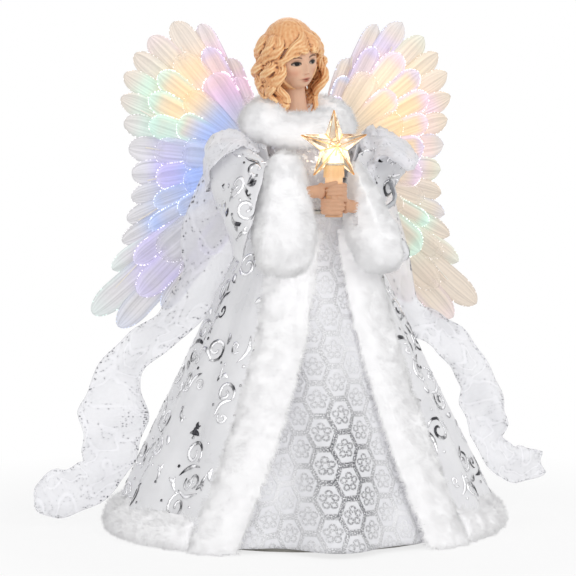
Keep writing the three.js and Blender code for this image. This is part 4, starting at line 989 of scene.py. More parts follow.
def dot_stroke(radius):
    reaches = [2 * step / DOT_STEPS - 1 for step in range(DOT_STEPS + 1)]
    return [(radius * reach, 0.0, 2 * radius * math.sqrt(max(0.0, 1 - reach ** 2))) for reach in reaches]


def shifted(points, dx, dy, turn):
    c, s = math.cos(turn), math.sin(turn)
    return [(dx + c * x - s * y, dy + s * x + c * y, width) for x, y, width in points]


def scroll_motif(rng):
    size = rng.uniform(7.0, 9.6)
    leaf, curl = bow_stroke(2.2 * size, 3.4, 2.6), curl_stroke(0.55 * size, 1.1, 2.2, 1.3)
    return [
        curl_stroke(size, 1.3, 0.0, 1.9),
        shifted(leaf, size * 0.9, -size * 0.95, rng.uniform(0.9, 1.5)),
        shifted(curl, 1.55 * size, -1.5 * size, rng.uniform(0, 1.5)),
        shifted(bow_stroke(0.95 * size, 1.4, 3.4), -1.25 * size, 0.7 * size, rng.uniform(0.4, 1.2)),
        shifted(dot_stroke(1.1), -0.3 * size, -1.5 * size, 0.0),
        shifted(dot_stroke(0.9), 0.6 * size, 1.4 * size, 0.0),
    ]


def sprig_motif(rng):
    length = rng.uniform(8.0, 12.0)
    return [
        bow_stroke(length, rng.uniform(1.6, 3.2), 2.0),
        shifted(bow_stroke(0.6 * length, 1.0, 2.2), 0.35 * length, 2.2, 0.9),
        shifted(dot_stroke(1.0), -0.62 * length, -0.6, 0.0),
    ]


motif_sizes = [len(motif(random.Random(0))) for motif in (scroll_motif, sprig_motif)]
print("foil motifs of", motif_sizes, "strokes")

# %% Foil on the robe, sleeves and yoke
FOIL_LIFT = 0.3 * MM
FOIL_THICKNESS = 0.12 * MM
FINEST_STROKE = 0.16
FOIL_TRIES = 3000
SCROLL_SHARE = 0.55
SPRIG_ROOM = 0.58
ROBE_MOTIFS, SLEEVE_MOTIFS, YOKE_MOTIFS = {"left": 36, "back": 70, "right": 36}, 26, 26
ROBE_SPACING, SLEEVE_SPACING, YOKE_SPACING = 25.0, 16.0, 15.0
FOIL_FOOT, SLEEVE_INNER = 24 * MM, 30 * MM
rng = random.Random(20)


def lay_strokes(bm, strokes, origin, right, up, surface):
    for points in strokes:
        last = len(points) - 1
        made = bmesh.ops.create_grid(bm, x_segments=last, y_segments=1, size=1.0)["verts"]
        for vert in made:
            index = round((vert.co.x + 1) / 2 * last)
            x, y, width = points[index]
            before, after = points[max(0, index - 1)], points[min(last, index + 1)]
            along = Vector((after[0] - before[0], after[1] - before[1])).normalized()
            offset = vert.co.y * max(width, FINEST_STROKE) / 2
            x, y = x - along.y * offset, y + along.x * offset
            spot, normal, _, _ = surface.find_nearest(origin + (right * x + up * y) * MM)
            vert.co = spot + normal * FOIL_LIFT


def scatter_foil(name, parts, spacing, wanted, keep):
    _, surface, places = parts
    bm = bmesh.new()
    taken = []
    weights = [area for _, _, area in places]
    for spot, normal, _ in rng.choices(places, weights, k=FOIL_TRIES):
        if len(taken) >= wanted:
            break
        large = len(taken) < SCROLL_SHARE * wanted
        room = (spacing if large else SPRIG_ROOM * spacing) * MM
        if not keep(spot, normal) or any((spot - other).length < room for other in taken):
            continue
        taken.append(spot)
        up = (Vector((0, 0, 1)) - normal * normal.z).normalized()
        right = up.cross(normal)
        turn = rng.uniform(0, TURN)
        mirrored = rng.choice((-1, 1))
        turned_right = right * math.cos(turn) + up * math.sin(turn)
        turned_up = (up * math.cos(turn) - right * math.sin(turn)) * mirrored
        motif = scroll_motif(rng) if large else sprig_motif(rng)
        lay_strokes(bm, motif, spot, turned_right, turned_up, surface)
    bmesh.ops.recalc_face_normals(bm, faces=bm.faces)
    for face in bm.faces:
        if face.normal.dot(surface.find_nearest(face.calc_center_median())[1]) < 0:
            face.normal_flip()
    piece = make_piece(name, bm, foil)
    give_thickness(piece, FOIL_THICKNESS)
    return piece


def above_hem(spot, normal):
    return spot.z > FOIL_FOOT


def outside_sleeve(spot, normal):
    return abs(spot.x) > SLEEVE_INNER and normal.dot(Vector((spot.x, spot.y * 0.4, 0))) > 0


def outside_yoke(spot, normal):
    return normal.dot(Vector((spot.x, spot.y, 0))) > 0


for side, wanted in ROBE_MOTIFS.items():
    printed = scatter_foil("foil_robe_" + side, robe_parts[side], ROBE_SPACING, wanted, above_hem)
for side, parts in sleeve_parts.items():
    printed = scatter_foil("foil_sleeve_" + side, parts, SLEEVE_SPACING, SLEEVE_MOTIFS, outside_sleeve)
printed = scatter_foil("foil_yoke", yoke_parts, YOKE_SPACING, YOKE_MOTIFS, outside_yoke)

# %% [markdown]
# ## Wings
# Each wing has three layers of pearly film feathers with fibre ends along their edges. A feather is a small grid
# bent into a ribbed paddle, so its ribs, camber and overlap are real shape. The colours of the lamps behind the
# film are listed for each wing and kept as a colour on the points. Every fibre end is a bead of light with few
# faces, because there are hundreds.

# %% Film and bead finishes
FILM_GLOW, BEAD_GLOW = 0.26, 1.2

film, tree, shader = new_finish("feather_film", Roughness=0.34, Coat_Weight=0.15)
glow = add_node(tree, "Attribute", attribute_name="glow").outputs
quill_place = add_node(tree, "UVMap", uv_map="quill").outputs[0]
across_quill = add_node(tree, "SeparateXYZ", {0: quill_place}).outputs["X"]
ribs = calc(tree, "ABSOLUTE", calc(tree, "SINE", calc(tree, "MULTIPLY", across_quill, 14.0)))
grain = calc(tree, "MULTIPLY_ADD", cloudy(tree, object_place(tree), 700.0, 2.0), 0.12, 0.4)
veins = cloudy(tree, mapped(tree, quill_place, Scale=(6.0, 0.35, 1.0)), 0.9, 4.0)
veins = calc(tree, "MULTIPLY_ADD", veins, 0.9, grain)
veins = calc(tree, "MINIMUM", calc(tree, "MULTIPLY_ADD", ribs, 0.06, veins), 1.05)
film_colour = vector_calc(tree, "MULTIPLY", glow["Color"], veins)
feed(
    tree, shader, Base_Color=film_colour, Emission_Color=film_colour, Emission_Strength=FILM_GLOW,
    Alpha=glow["Alpha"], Normal=bump(tree, ribs, 0.5, 0.15 * MM))

bead_light, tree, shader = new_finish("fibre_ends", Roughness=0.3, Emission_Strength=BEAD_GLOW)
spark = attribute(tree, "glow", "Color")
feed(tree, shader, Base_Color=spark, Emission_Color=spark)
print("finishes", film.name, bead_light.name)

# %% Feather layout
FEATHER_TIPS = (
    (0.37, 72), (0.464, 100), (0.6, 110), (0.763, 112), (0.895, 112), (1.025, 110), (1.163, 105),
    (1.3, 98), (1.47, 92), (1.66, 90), (1.83, 93), (1.96, 100), (2.07, 109), (2.17, 124),
    (2.28, 152), (2.4, 146), (2.51, 118))
WING_SWEEP = 0.175
FEATHER_ROOT = 14.0
# Each layer: its number of feathers, its share of the full length, and how far back it stands.
LAYERS = {
    "outer": (17, 1.0, 2.7),
    "middle": (13, 0.82, -2.7),
    "inner": (9, 0.62, -4.2),
}
SIDE_NAMES = {-1: "left", 1: "right"}
hinges = {joint["child"]: Vector(joint["pos_m"]) for joint in frame["joints"] if "pos_m" in joint}


def feather_tip(share):
    """Angle and length of the feather that stands at a share of the fan."""
    spot = clamp(share) * (len(FEATHER_TIPS) - 1)
    low = min(int(spot), len(FEATHER_TIPS) - 2)
    return [mix(a, b, spot - low) for a, b in zip(FEATHER_TIPS[low], FEATHER_TIPS[low + 1])]


def wing_place(side, out, back, up):
    turn = Matrix.Rotation(side * WING_SWEEP, 3, "Z")
    return hinges["wing_" + SIDE_NAMES[side]] + turn @ Vector((side * out, back, up)) * MM


print("hinges at", {name: [round(x, 4) for x in place] for name, place in hinges.items()})

# %% Lamp colours
WARM = (252, 228, 188)
CREAM = (250, 236, 212)
PINK = (244, 212, 242)
VIOLET = (208, 196, 248)
BLUE = (184, 206, 252)
MINT = (204, 245, 230)
FILM_GREY = (216, 214, 216)
FILM_BEIGE = (226, 214, 200)
UNLIT_FILM = {-1: FILM_GREY, 1: (220, 208, 194)}
GLOW_REACH = 1.25
# Each zone of light: its angle and share of the reach, its width and depth, its colour and its strength.
GLOWS = {
    -1: [
        (1.0, 0.58, 0.26, 0.16, WARM, 0.9), (0.68, 0.64, 0.2, 0.13, WARM, 0.75),
        (0.58, 0.46, 0.16, 0.14, PINK, 0.6), (0.42, 0.7, 0.1, 0.14, PINK, 0.6),
        (1.02, 0.8, 0.09, 0.07, MINT, 0.5), (1.23, 0.8, 0.09, 0.08, MINT, 0.55),
        (1.28, 0.64, 0.09, 0.08, MINT, 0.5), (0.87, 0.34, 0.25, 0.1, BLUE, 0.6),
        (1.24, 0.38, 0.22, 0.14, BLUE, 0.75), (1.75, 0.5, 0.3, 0.22, BLUE, 0.8),
        (1.62, 0.68, 0.16, 0.12, VIOLET, 0.7), (2.05, 0.74, 0.08, 0.07, BLUE, 0.5),
        (2.14, 0.5, 0.08, 0.08, BLUE, 0.35), (2.23, 0.68, 0.1, 0.07, VIOLET, 0.4),
        (2.43, 0.64, 0.1, 0.07, VIOLET, 0.4),
    ],
    1: [
        (1.0, 0.58, 0.4, 0.22, WARM, 0.9), (0.7, 0.6, 0.22, 0.2, CREAM, 0.8),
        (1.45, 0.66, 0.3, 0.2, WARM, 0.7), (2.0, 0.62, 0.28, 0.25, FILM_BEIGE, 0.9),
        (0.6, 0.78, 0.12, 0.08, VIOLET, 0.45), (0.46, 0.6, 0.1, 0.15, VIOLET, 0.4),
        (1.15, 0.8, 0.1, 0.07, PINK, 0.5), (1.4, 0.82, 0.1, 0.07, PINK, 0.45),
        (1.66, 0.76, 0.12, 0.08, VIOLET, 0.4), (2.06, 0.78, 0.08, 0.06, MINT, 0.4),
        (2.25, 0.6, 0.08, 0.06, MINT, 0.45),
    ],
}
LIT = {
    -1: {
        "outer": {0: VIOLET, 1: VIOLET, 3: PINK, 13: MINT, 14: MINT, 15: BLUE, 16: BLUE},
        "middle": {0: PINK, 1: VIOLET, 3: MINT, 4: MINT, 5: MINT, 7: VIOLET, 8: BLUE, 9: BLUE,
                   10: VIOLET, 11: VIOLET},
        "inner": {1: PINK, 3: MINT, 6: BLUE, 8: VIOLET},
    },
    1: {
        "outer": {0: BLUE, 1: BLUE, 2: BLUE, 3: MINT, 8: BLUE, 9: MINT, 11: BLUE, 13: MINT, 15: PINK,
                  16: PINK},
        "middle": {0: BLUE, 1: VIOLET, 2: PINK, 3: VIOLET, 4: PINK, 5: PINK, 6: VIOLET, 7: PINK, 9: MINT},
        "inner": {0: VIOLET, 2: PINK, 5: PINK, 7: MINT},
    },
}


def lamp_colour(side, angle, share):
    """The film's colour at an angle of the fan and a share of its reach."""
    top = (1 - ease(1.0, 1.5, angle)) * ease(0.55, 0.95, share)
    colour = pigment(UNLIT_FILM[side]).lerp(pigment(FILM_BEIGE), 0.8 * top)
    for at_angle, at_share, wide, deep, shade, strength in GLOWS[side]:
        pull = strength * dab(angle, share, at_angle, at_share, wide, deep)
        colour = colour.lerp(pigment(shade), min(1.0, GLOW_REACH * pull))
    return colour


print("lamp colours for", len(GLOWS[-1]), "and", len(GLOWS[1]), "zones")

# %% Feathers
COLUMNS, ROWS = 12, 40
TIP_START, TIP_ROWS = 0.86, 0.6
RIGHT_REACH = 1.07
NARROWEST, FEATHER_LAP, STAGGER = 6.6, 0.52, 0.16
CAMBER, RIB_HEIGHT, RIB_WAVES, TILT, ARCH = 1.1, 0.16, 5, 0.55, 0.9


def row_place(row):
    """Rows crowd together towards the round tip."""
    if row <= TIP_ROWS:
        return TIP_START * row / TIP_ROWS
    return mix(TIP_START, 1.0, math.sin(math.pi / 2 * (row - TIP_ROWS) / (1 - TIP_ROWS)))


def feather_half(along, half_width):
    body = half_width * mix(0.2, 1.0, ease(0.0, 0.78, along) ** 0.8)
    if along <= TIP_START:
        return body
    tip = (along - TIP_START) / (1 - TIP_START)
    return body * math.sqrt(max(0.0, 1 - tip ** 2))


def feather_point(side, angle, length, half_width, depth, across, along):
    reach = mix(FEATHER_ROOT, length, along)
    offset = across * feather_half(along, half_width)
    camber = CAMBER * (1 - across * across) * ease(0.1, 0.6, along)
    rib = RIB_HEIGHT * math.cos(across * RIB_WAVES * math.pi) * ease(0.15, 0.5, along)
    back = depth - camber - rib + TILT * across + ARCH * math.sin(2.2 * along)
    out = (reach * math.sin(angle) + offset * math.cos(angle)) * (RIGHT_REACH if side > 0 else 1.0)
    up = reach * math.cos(angle) - offset * math.sin(angle)
    return wing_place(side, out, back, up)


def plan_feather(layer, index):
    """Angle, length, half width and depth of one feather. The end ones have a neighbour on one side only."""
    count, reach, depth = LAYERS[layer]
    share, half_step = index / (count - 1), 0.5 / (count - 1)
    angle, full_length = feather_tip(share)
    length = full_length * reach
    spread = feather_tip(share + half_step)[0] - feather_tip(share - half_step)[0]
    whole = 1.0 if 0 < index < count - 1 else 0.5
    half_width = max(NARROWEST, FEATHER_LAP * spread * length / whole)
    return angle, length, half_width, depth + (STAGGER if index % 2 else -STAGGER)


print("feathers in a wing:", sum(count for count, _, _ in LAYERS.values()))

# %% Feather layers and fibre ends
FILM_THICKNESS = 0.25 * MM
FILM_MERGE = 0.02 * MM
BEAD_STEPS, BEAD_LIFT, BEAD_EDGE, BEAD_STRAY = 22, 0.4, 0.97, 0.03
STRONG_BEADS, WEAK_BEADS = (0.22, 0.4), (0.16, 0.28)
UNLIT = pigment((236, 232, 236))
WHITE = Vector((1.0, 1.0, 1.0))


def film_shade(side, layer, angle, lit, across, along):
    """Colour and cover of the film: lit feathers shine at the rim, and the others thin out there."""
    rim = max(ease(0.5, 1.0, abs(across)), ease(0.86, 1.0, along)) * ease(0.5, 0.8, along)
    shade = lamp_colour(side, angle, mix(0.1, LAYERS[layer][1], along) * 0.96)
    if lit:
        edge_pull, white_pull = (0.2, 0.1) if layer == "outer" else (0.75, 0.3)
        shade = shade.lerp(pigment(lit), edge_pull * rim).lerp(WHITE, white_pull * rim ** 3)
    cover = 0.8 if layer == "outer" else mix(0.62, 0.5 if lit else 0.22, rim)
    return (*shade, cover)


def string_beads(bm, chance, side, layer, index, lit):
    """Fibre ends round the tip of a feather. They are large and in clusters where it is lit."""
    glow_layer = bm.verts.layers.float_color["glow"]
    angle, length, half_width, lift = plan_feather(layer, index)
    strong = lit and layer != "outer"
    shade = (pigment(lit) if lit else UNLIT).lerp(WHITE, 0.6 if strong else 0.2)
    for walk in range(-BEAD_STEPS, BEAD_STEPS + 1):
        turn = walk / BEAD_STEPS + chance.uniform(-BEAD_STRAY, BEAD_STRAY)
        along = 1.0 - (0.34 if strong else 0.18) * abs(turn) ** 1.5
        patch = rough((4 * turn, 7.0 * index, LAYERS[layer][1]), 1.0, 2.0 + side)
        if chance.random() < (0.3 - 0.9 * patch if strong else 0.65):
            continue
        radius = chance.uniform(*(STRONG_BEADS if strong else WEAK_BEADS))
        if strong:
            radius += 0.3 * max(0.0, patch)
        spot = feather_point(
            side, angle, length, half_width, lift - BEAD_LIFT, math.copysign(BEAD_EDGE, turn), along)
        made = bmesh.ops.create_icosphere(
            bm, subdivisions=1, radius=radius * MM, matrix=Matrix.Translation(spot))
        for vert in made["verts"]:
            vert[glow_layer] = (*shade, 1.0)


def grow_layer(side, layer):
    count = LAYERS[layer][0]
    chance = random.Random(count)
    bm, bead_bm = bmesh.new(), bmesh.new()
    quill_map = bm.loops.layers.uv.new("quill")
    glow_layer = bm.verts.layers.float_color.new("glow")
    bead_bm.verts.layers.float_color.new("glow")
    for index in range(count):
        feather = plan_feather(layer, index)
        lit = LIT[side][layer].get(index)
        made = bmesh.ops.create_grid(bm, x_segments=COLUMNS, y_segments=ROWS, size=1.0)["verts"]
        for face in {face for vert in made for face in vert.link_faces}:
            for loop in face.loops:
                loop[quill_map].uv = (loop.vert.co.x + 3 * index, row_place((loop.vert.co.y + 1) / 2))
        for vert in made:
            across, along = vert.co.x, row_place((vert.co.y + 1) / 2)
            vert[glow_layer] = film_shade(side, layer, feather[0], lit, across, along)
            vert.co = feather_point(side, *feather, across, along)
        string_beads(bead_bm, chance, side, layer, index, lit)
    bmesh.ops.remove_doubles(bm, verts=bm.verts, dist=FILM_MERGE)
    bmesh.ops.recalc_face_normals(bm, faces=bm.faces)
    name = SIDE_NAMES[side]
    body = "wing_" + name
    piece = make_piece(f"{layer}_feathers_{name}", bm, film, body, (f"wing_{layer}_{name}",))
    give_thickness(piece, FILM_THICKNESS)
    make_piece(f"{layer}_lights_{name}", bead_bm, bead_light, body)


for side in SIDE_NAMES:
    for layer in LAYERS:
        grow_layer(side, layer)

# %% [markdown]
# ## Head
# The head and the neck are one painted casting. Three balls and a neck are fused by a voxel remesh, which
# gives an even skin of small squares. Then the points are pushed and pulled, as a thumb would push clay,
# into a calm doll's face, and the paint is a colour kept on the same points.

# %% Painted casting finish
skin, tree, shader = new_finish(
    "painted_skin", Roughness=0.45, Specular_IOR_Level=0.25, Subsurface_Weight=0.05,
    Subsurface_Radius=(1.0, 0.5, 0.3), Subsurface_Scale=1.5 * MM)
blotch = use_group(tree, mottle_group, object_place(tree), 220.0)
shade = calc(tree, "MULTIPLY_ADD", blotch["Tone"], 0.14, 0.93)
skin_colour = vector_calc(tree, "MULTIPLY", attribute(tree, "paint", "Color"), shade)
feed(tree, shader, Base_Color=skin_colour, Normal=bump(tree, blotch["Height"], 0.05))
print("finish", skin.name)

# %% Fusing helpers
CASTING_MERGE = 0.005 * MM
GROOVE_DEPTH = 0.17
UPRIGHT_LINE = 0.95


def ball(bm, centre, half, fine=4):
    shape = Matrix.Translation(Vector(centre) * MM) @ Matrix.Diagonal((*(Vector(half) * MM), 1.0))
    bmesh.ops.create_icosphere(bm, subdivisions=fine, radius=1.0, matrix=shape)


def tube(bm, points, radii, sides=10, grooves=0):
    last = len(points) - 1
    made = bmesh.ops.create_grid(bm, x_segments=last, y_segments=sides, size=1.0)["verts"]
    for vert in made:
        index = round((vert.co.x + 1) / 2 * last)
        turn = (vert.co.y + 1) * math.pi
        along = (points[min(last, index + 1)] - points[max(0, index - 1)]).normalized()
        steep = abs(along.z) > UPRIGHT_LINE
        aside = (along.orthogonal() if steep else along.cross(Vector((0, 0, 1)))).normalized()
        outward = aside * math.cos(turn) + along.cross(aside) * math.sin(turn)
        groove = 1 + GROOVE_DEPTH * bool(grooves) * math.cos(grooves * turn)
        vert.co = points[index] + outward * radii[index] * groove


def fuse(bm, name, material, voxel, rounds, stands_for):
    """Makes one casting of all that overlaps, and hands it back with its bmesh for more work."""
    bmesh.ops.remove_doubles(bm, verts=bm.verts, dist=CASTING_MERGE)
    bmesh.ops.holes_fill(bm, edges=bm.edges, sides=0)
    bmesh.ops.recalc_face_normals(bm, faces=bm.faces)
    piece = make_piece(name, bm, material, stands_for=stands_for)
    skin_over = piece.modifiers.new("fuse", "REMESH")
    skin_over.mode = "VOXEL"
    skin_over.voxel_size = voxel
    settle_modifiers(piece)
    fused = bmesh.new()
    fused.from_mesh(piece.data)
    relax(fused, rounds)
    return piece, fused


def take_back(piece, bm):
    bmesh.ops.recalc_face_normals(bm, faces=bm.faces)
    bm.to_mesh(piece.data)
    bm.free()
    piece.data.shade_smooth()


print("castings fuse points closer than", CASTING_MERGE, "m")

# %% Head shape
HEAD_PLACE = (
    Matrix.Translation(Vector((-5.0, 0.0, 0.0)) * MM) @ Matrix.Rotation(0.3, 4, "Z")
    @ Matrix.Translation(Vector((-4.0, 0.0, 300.1)) * MM)
    @ Matrix.Rotation(-0.13, 4, "Y") @ Matrix.Rotation(0.07, 4, "X"))
HEAD_VOXEL, HEAD_ROUNDS = 0.34 * MM, 16
SKULL = ((0, 0.8, 2.5), (15.8, 17.2, 19.5))
JAW = ((0, -5.8, -6.8), (9.2, 10.0, 10.0))
CHEEKS = ((0, -3.2, -1.0), (13.9, 13.2, 10.8))
NECK_STEPS, NECK_RADIUS, NECK_FLARE, NECK_SIDES = 12, 8.0, 5.0, 20
EYE_X, EYE_Z = 6.0, 0.2
NOSE_HEIGHT, NOSE_HALF = 3.3, 1.75
# Each push on the clay: its height, its place across and up the face, its width and its tallness.
MIDDLE_DABS = {
    "bridge": (0.9, 0, -1.0, 1.2, 3.0),
    "chin": (0.7, 0, -14.0, 2.8, 1.8),
    "upper lip": (0.75, 0, -9.3, 2.9, 0.65),
    "lower lip": (0.9, 0, -11.0, 2.4, 0.75),
    "mouth line": (-0.75, 0, -10.15, 3.3, 0.3),
}
PAIRED_DABS = {
    "nostril": (0.8, 1.6, -5.8, 0.9, 0.9),
    "eye socket": (-1.6, EYE_X, EYE_Z + 0.3, 3.4, 2.2),
    "eyeball": (1.1, EYE_X, EYE_Z, 2.5, 1.4),
    "brow": (0.5, 5.4, 3.4, 3.6, 1.0),
    "cheek": (0.7, 6.8, -5.6, 3.2, 3.4),
}


def face_push(x, z):
    push = NOSE_HEIGHT * bell(x, NOSE_HALF) * (1 - ease(-5.2, 3.2, z)) * ease(-7.4, -5.4, z)
    for height, *spot in MIDDLE_DABS.values():
        push += height * dab(x, z, *spot)
    for height, at_x, *spot in PAIRED_DABS.values():
        push += height * (dab(x, z, -at_x, *spot) + dab(x, z, at_x, *spot))
    return push


head_bm = bmesh.new()
for centre, half in (SKULL, JAW, CHEEKS):
    ball(head_bm, centre, half)
neck_line = [Vector((0, 2.5 - 0.02 * step, -46 + 3.4 * step)) * MM for step in range(NECK_STEPS)]
neck_radii = [
    (NECK_RADIUS + NECK_FLARE * (1 - step / (NECK_STEPS - 1)) ** 3) * MM for step in range(NECK_STEPS)]
tube(head_bm, neck_line, neck_radii, NECK_SIDES)
head, head_bm = fuse(head_bm, "doll_head", skin, HEAD_VOXEL, HEAD_ROUNDS, ("head",))
for vert in head_bm.verts:
    x, y, z = vert.co / MM
    if y < -4:
        vert.co.y -= face_push(x, z) * ease(4.0, 9.0, -y) * MM
take_back(head, head_bm)
print("head stands at", [round(x, 4) for x in HEAD_PLACE.translation])

# %% Face paint
SKIN_TONE, BLUSH, LIP, LIP_LINE = (226, 186, 159), (218, 146, 120), (182, 104, 88), (112, 60, 50)
BROW, LASH, IRIS, EYE_WHITE = (66, 42, 32), (10, 8, 8), (16, 15, 18), (200, 186, 176)
LID, PUPIL, NOSTRIL = (184, 128, 102), (14, 12, 12), (196, 128, 104)
EYE_HALF = 3.1
UNPAINTED = -6


def layer_on(colour, shade, share):
    return colour.lerp(pigment(shade), clamp(share))


def paint_brow(colour, x, z):
    arch = 3.5 + 1.1 * math.sin(math.pi * clamp((x - 2.2) / 8.4))
    span = ease(2.2, 3.2, x) * (1 - ease(9.0, 10.6, x))
    return layer_on(colour, BROW, 0.95 * span * bell(z - arch, 0.5))


def paint_eye(colour, dx, dz):
    if abs(dx) >= EYE_HALF:
        return colour
    lid = (1.15 if dz > 0 else 1.0) * (1 - (dx / EYE_HALF) ** 2)
    inside = ease(-0.25, 0.25, lid - abs(dz))
    away = math.hypot(dx - 0.3, dz - 0.2)
    colour = layer_on(colour, EYE_WHITE, inside)
    colour = layer_on(colour, IRIS, inside * (1 - ease(1.45, 1.7, away)))
    colour = layer_on(colour, PUPIL, inside * (1 - ease(1.1, 1.35, away)))
    colour = layer_on(colour, LASH, (dz > -0.6) * bell(dz - lid - 0.1, 0.75))
    return layer_on(colour, LASH, 0.55 * bell(dz + lid + 0.05, 0.3))


def face_paint(x, y, z):
    colour = pigment(SKIN_TONE)
    if y > UNPAINTED:
        return colour
    for side in (-1, 1):
        colour = layer_on(colour, BLUSH, 0.45 * dab(x, z, side * 7.4, -5.4, 3.0, 2.4))
        colour = layer_on(colour, LID, 0.6 * dab(x, z, side * EYE_X, EYE_Z + 2.3, 3.2, 0.6))
        if side * x > 0:
            colour = paint_brow(colour, abs(x), z)
        colour = paint_eye(colour, x - side * EYE_X, z - EYE_Z)
    lips = dab(x, z, 0, -9.45, 3.5, 0.75) + dab(x, z, 0, -11.0, 2.8, 0.85)
    colour = layer_on(colour, LIP, 1.25 * lips - 0.25)
    colour = layer_on(colour, LIP_LINE, 0.9 * dab(x, z, 0, -10.15, 3.1, 0.28))
    return layer_on(colour, NOSTRIL, 0.6 * dab(abs(x), z, 1.0, -6.5, 0.7, 0.35))


paint_layer = head.data.attributes.new("paint", "FLOAT_COLOR", "POINT")
for vert, colour in zip(head.data.vertices, paint_layer.data):
    colour.color = (*face_paint(*(vert.co / MM)), 1.0)
head.data.transform(HEAD_PLACE)
print("painted", len(head.data.vertices), "points of the head")

# %% [markdown]
# ## Hair
# The hair is a casting of its own: waved locks that fall from a parting to the collar, with a curly fringe.
# Each lock is a tube along a waving line over the skull. All are fused, and the hollows between them are found by
# comparing the surface with a smoothed copy. The colour is a painted shade in the hollows and a painted highlight
# on the raised locks.

# %% Hair finish
hair_paint, tree, shader = new_finish("painted_hair", Roughness=0.42)
strand_lines = cloudy(tree, mapped(tree, object_place(tree), Scale=(700.0, 700.0, 300.0)), 1.0, 3.0)
# Painted shade and highlight: the hollows between the locks are painted dark, and the raised locks pale.
hollow_shade_and_ridge_light = calc(tree, "SUBTRACT", attribute(tree, "hollow_shade_and_ridge_light"), 0.25)
ramp = add_node(tree, "ValToRGB", {"Fac": calc(tree, "MULTIPLY_ADD", strand_lines, 0.5, hollow_shade_and_ridge_light)})
stops = ramp.color_ramp.elements
stops[0].color = tint(108, 58, 32)
stops[1].color = tint(252, 214, 162)
stops.new(0.45).color = tint(226, 162, 108)
feed(tree, shader, Base_Color=ramp.outputs["Color"], Normal=bump(tree, strand_lines, 0.2, 0.4 * MM))
print("finish", hair_paint.name)

# %% Lines of the locks
LOCK_STEPS, LOCK_SIDES, LOCK_GROOVES = 44, 25, 5
SCALP = Vector((18.2, 19.8, 23.6))
SCALP_Y, SCALP_Z = 1.6, 3.6
FALL_START = 0.42
CROWN_RISE, EAR_RISE = 0.95, -0.05


def scalp_place(turn, rise, lift):
    flat = math.cos(rise)
    place = Vector((
        SCALP.x * flat * math.sin(turn), SCALP_Y - SCALP.y * flat * math.cos(turn),
        SCALP_Z + SCALP.z * math.sin(rise)))
    return place + place.normalized() * lift


def waved_lock(bm, line, thick, wave, phase, waves):
    points = [line(step / LOCK_STEPS) for step in range(LOCK_STEPS + 1)]
    places, radii = [], []
    for step, place in enumerate(points):
        share = step / LOCK_STEPS
        along = (points[min(LOCK_STEPS, step + 1)] - points[max(0, step - 1)]).normalized()
        outward = Vector((place.x, place.y, 0.25 * place.z)).normalized()
        aside = along.cross(outward).normalized()
        grow = wave * ease(0.1, 0.4, share)
        turn = TURN * waves * share + phase
        places.append((place + aside * grow * math.sin(turn) + outward * 0.5 * grow * math.cos(turn)) * MM)
        radii.append(thick * (0.3 + 0.7 * math.sin(math.pi * (0.14 + 0.8 * share)) ** 0.7) * MM)
    tube(bm, places, radii, LOCK_SIDES, LOCK_GROOVES)


def falling_line(turn, lift, end_z, tuck):
    def line(share):
        if share < FALL_START:
            part = share / FALL_START
            return scalp_place(
                turn, mix(CROWN_RISE, EAR_RISE, part), mix(-3.0, lift, ease(0.0, 0.6, part)))
        part = (share - FALL_START) / (1 - FALL_START)
        top = scalp_place(turn, EAR_RISE, lift)
        bulge = 1 + 0.13 * math.sin(math.pi * min(1.0, 1.25 * part)) - tuck * ease(0.2, 1.0, part)
        return Vector((top.x * bulge, SCALP_Y + (top.y - SCALP_Y) * bulge, mix(top.z, end_z, part)))

    return line


def fringe_line(start_turn, end_turn, start_rise, end_rise, lift):
    def line(share):
        return scalp_place(
            mix(start_turn, end_turn, share), mix(start_rise, end_rise, share ** 0.8),
            mix(-1.8, lift, ease(0.0, 0.5, share)))

    return line


print("locks of", LOCK_STEPS, "steps")

# %% Hair cap
HAIRLINE, HAIRLINE_SOFT = 9.0, 4.0
CROWN = Vector((0.0, 5.0, 0.0)) * MM
COMB_DEPTH = 0.007

hair_bm = bmesh.new()
ball(hair_bm, (0, 2.6, 4.6), (18.3, 19.4, 23.8), 5)
for vert in hair_bm.verts:
    from_crown = Vector((vert.co.x, vert.co.y, 0.0)) - CROWN
    turn = math.atan2(from_crown.x, -from_crown.y)
    comb = math.cos(34 * turn + 3 * rough(vert.co, 7 * MM, 8.0))
    comb += 0.6 * math.cos(55 * turn + 4 * rough(vert.co, 5 * MM, 9.0))
    vert.co *= 1 + COMB_DEPTH * comb * ease(3.0, 8.0, from_crown.length / MM)
    limit = mix(-6.0, -30.0, ease(HAIRLINE, HAIRLINE + HAIRLINE_SOFT, vert.co.z / MM))
    vert.co.y = max(vert.co.y, limit * MM)
print("cap of", len(hair_bm.verts), "points")

# %% Hair locks
FIRST_RIGHT, FIRST_LEFT = 1.22, 1.02
STRAND_STEP = 0.085
LONG_CLUMPS, LONG_ENDS, SIDE_CLUMPS = 10, (-34, -31), (0, 1, 8, 9)
SIDE_TUCK, BACK_TUCK = 0.32, 0.2
TOP_CLUMPS, TOP_ENDS = 8, (-24, -12)
FRINGE_ROWS, PARTING = 7, 0.24
HAIR_VOXEL = 0.47 * MM
HOLLOW_ROUNDS, HOLLOW_DEPTH = 18, 1.7
rng = random.Random(8)


def hang_clump(middle, strands, lift, end_z, tuck, thick):
    """A few locks side by side that wave together."""
    phase, waves, wave = rng.uniform(0, TURN), rng.uniform(3.2, 4.0), rng.uniform(2.2, 3.0)
    for strand in range(strands):
        turn = middle + STRAND_STEP * (strand - (strands - 1) / 2)
        turn = turn if turn < math.pi else turn - TURN
        line = falling_line(turn, lift + rng.uniform(-0.3, 0.3), end_z + rng.uniform(-1.5, 1.5), tuck)
        waved_lock(hair_bm, line, thick * rng.uniform(0.88, 1.1), wave, phase + 0.2 * strand, waves)


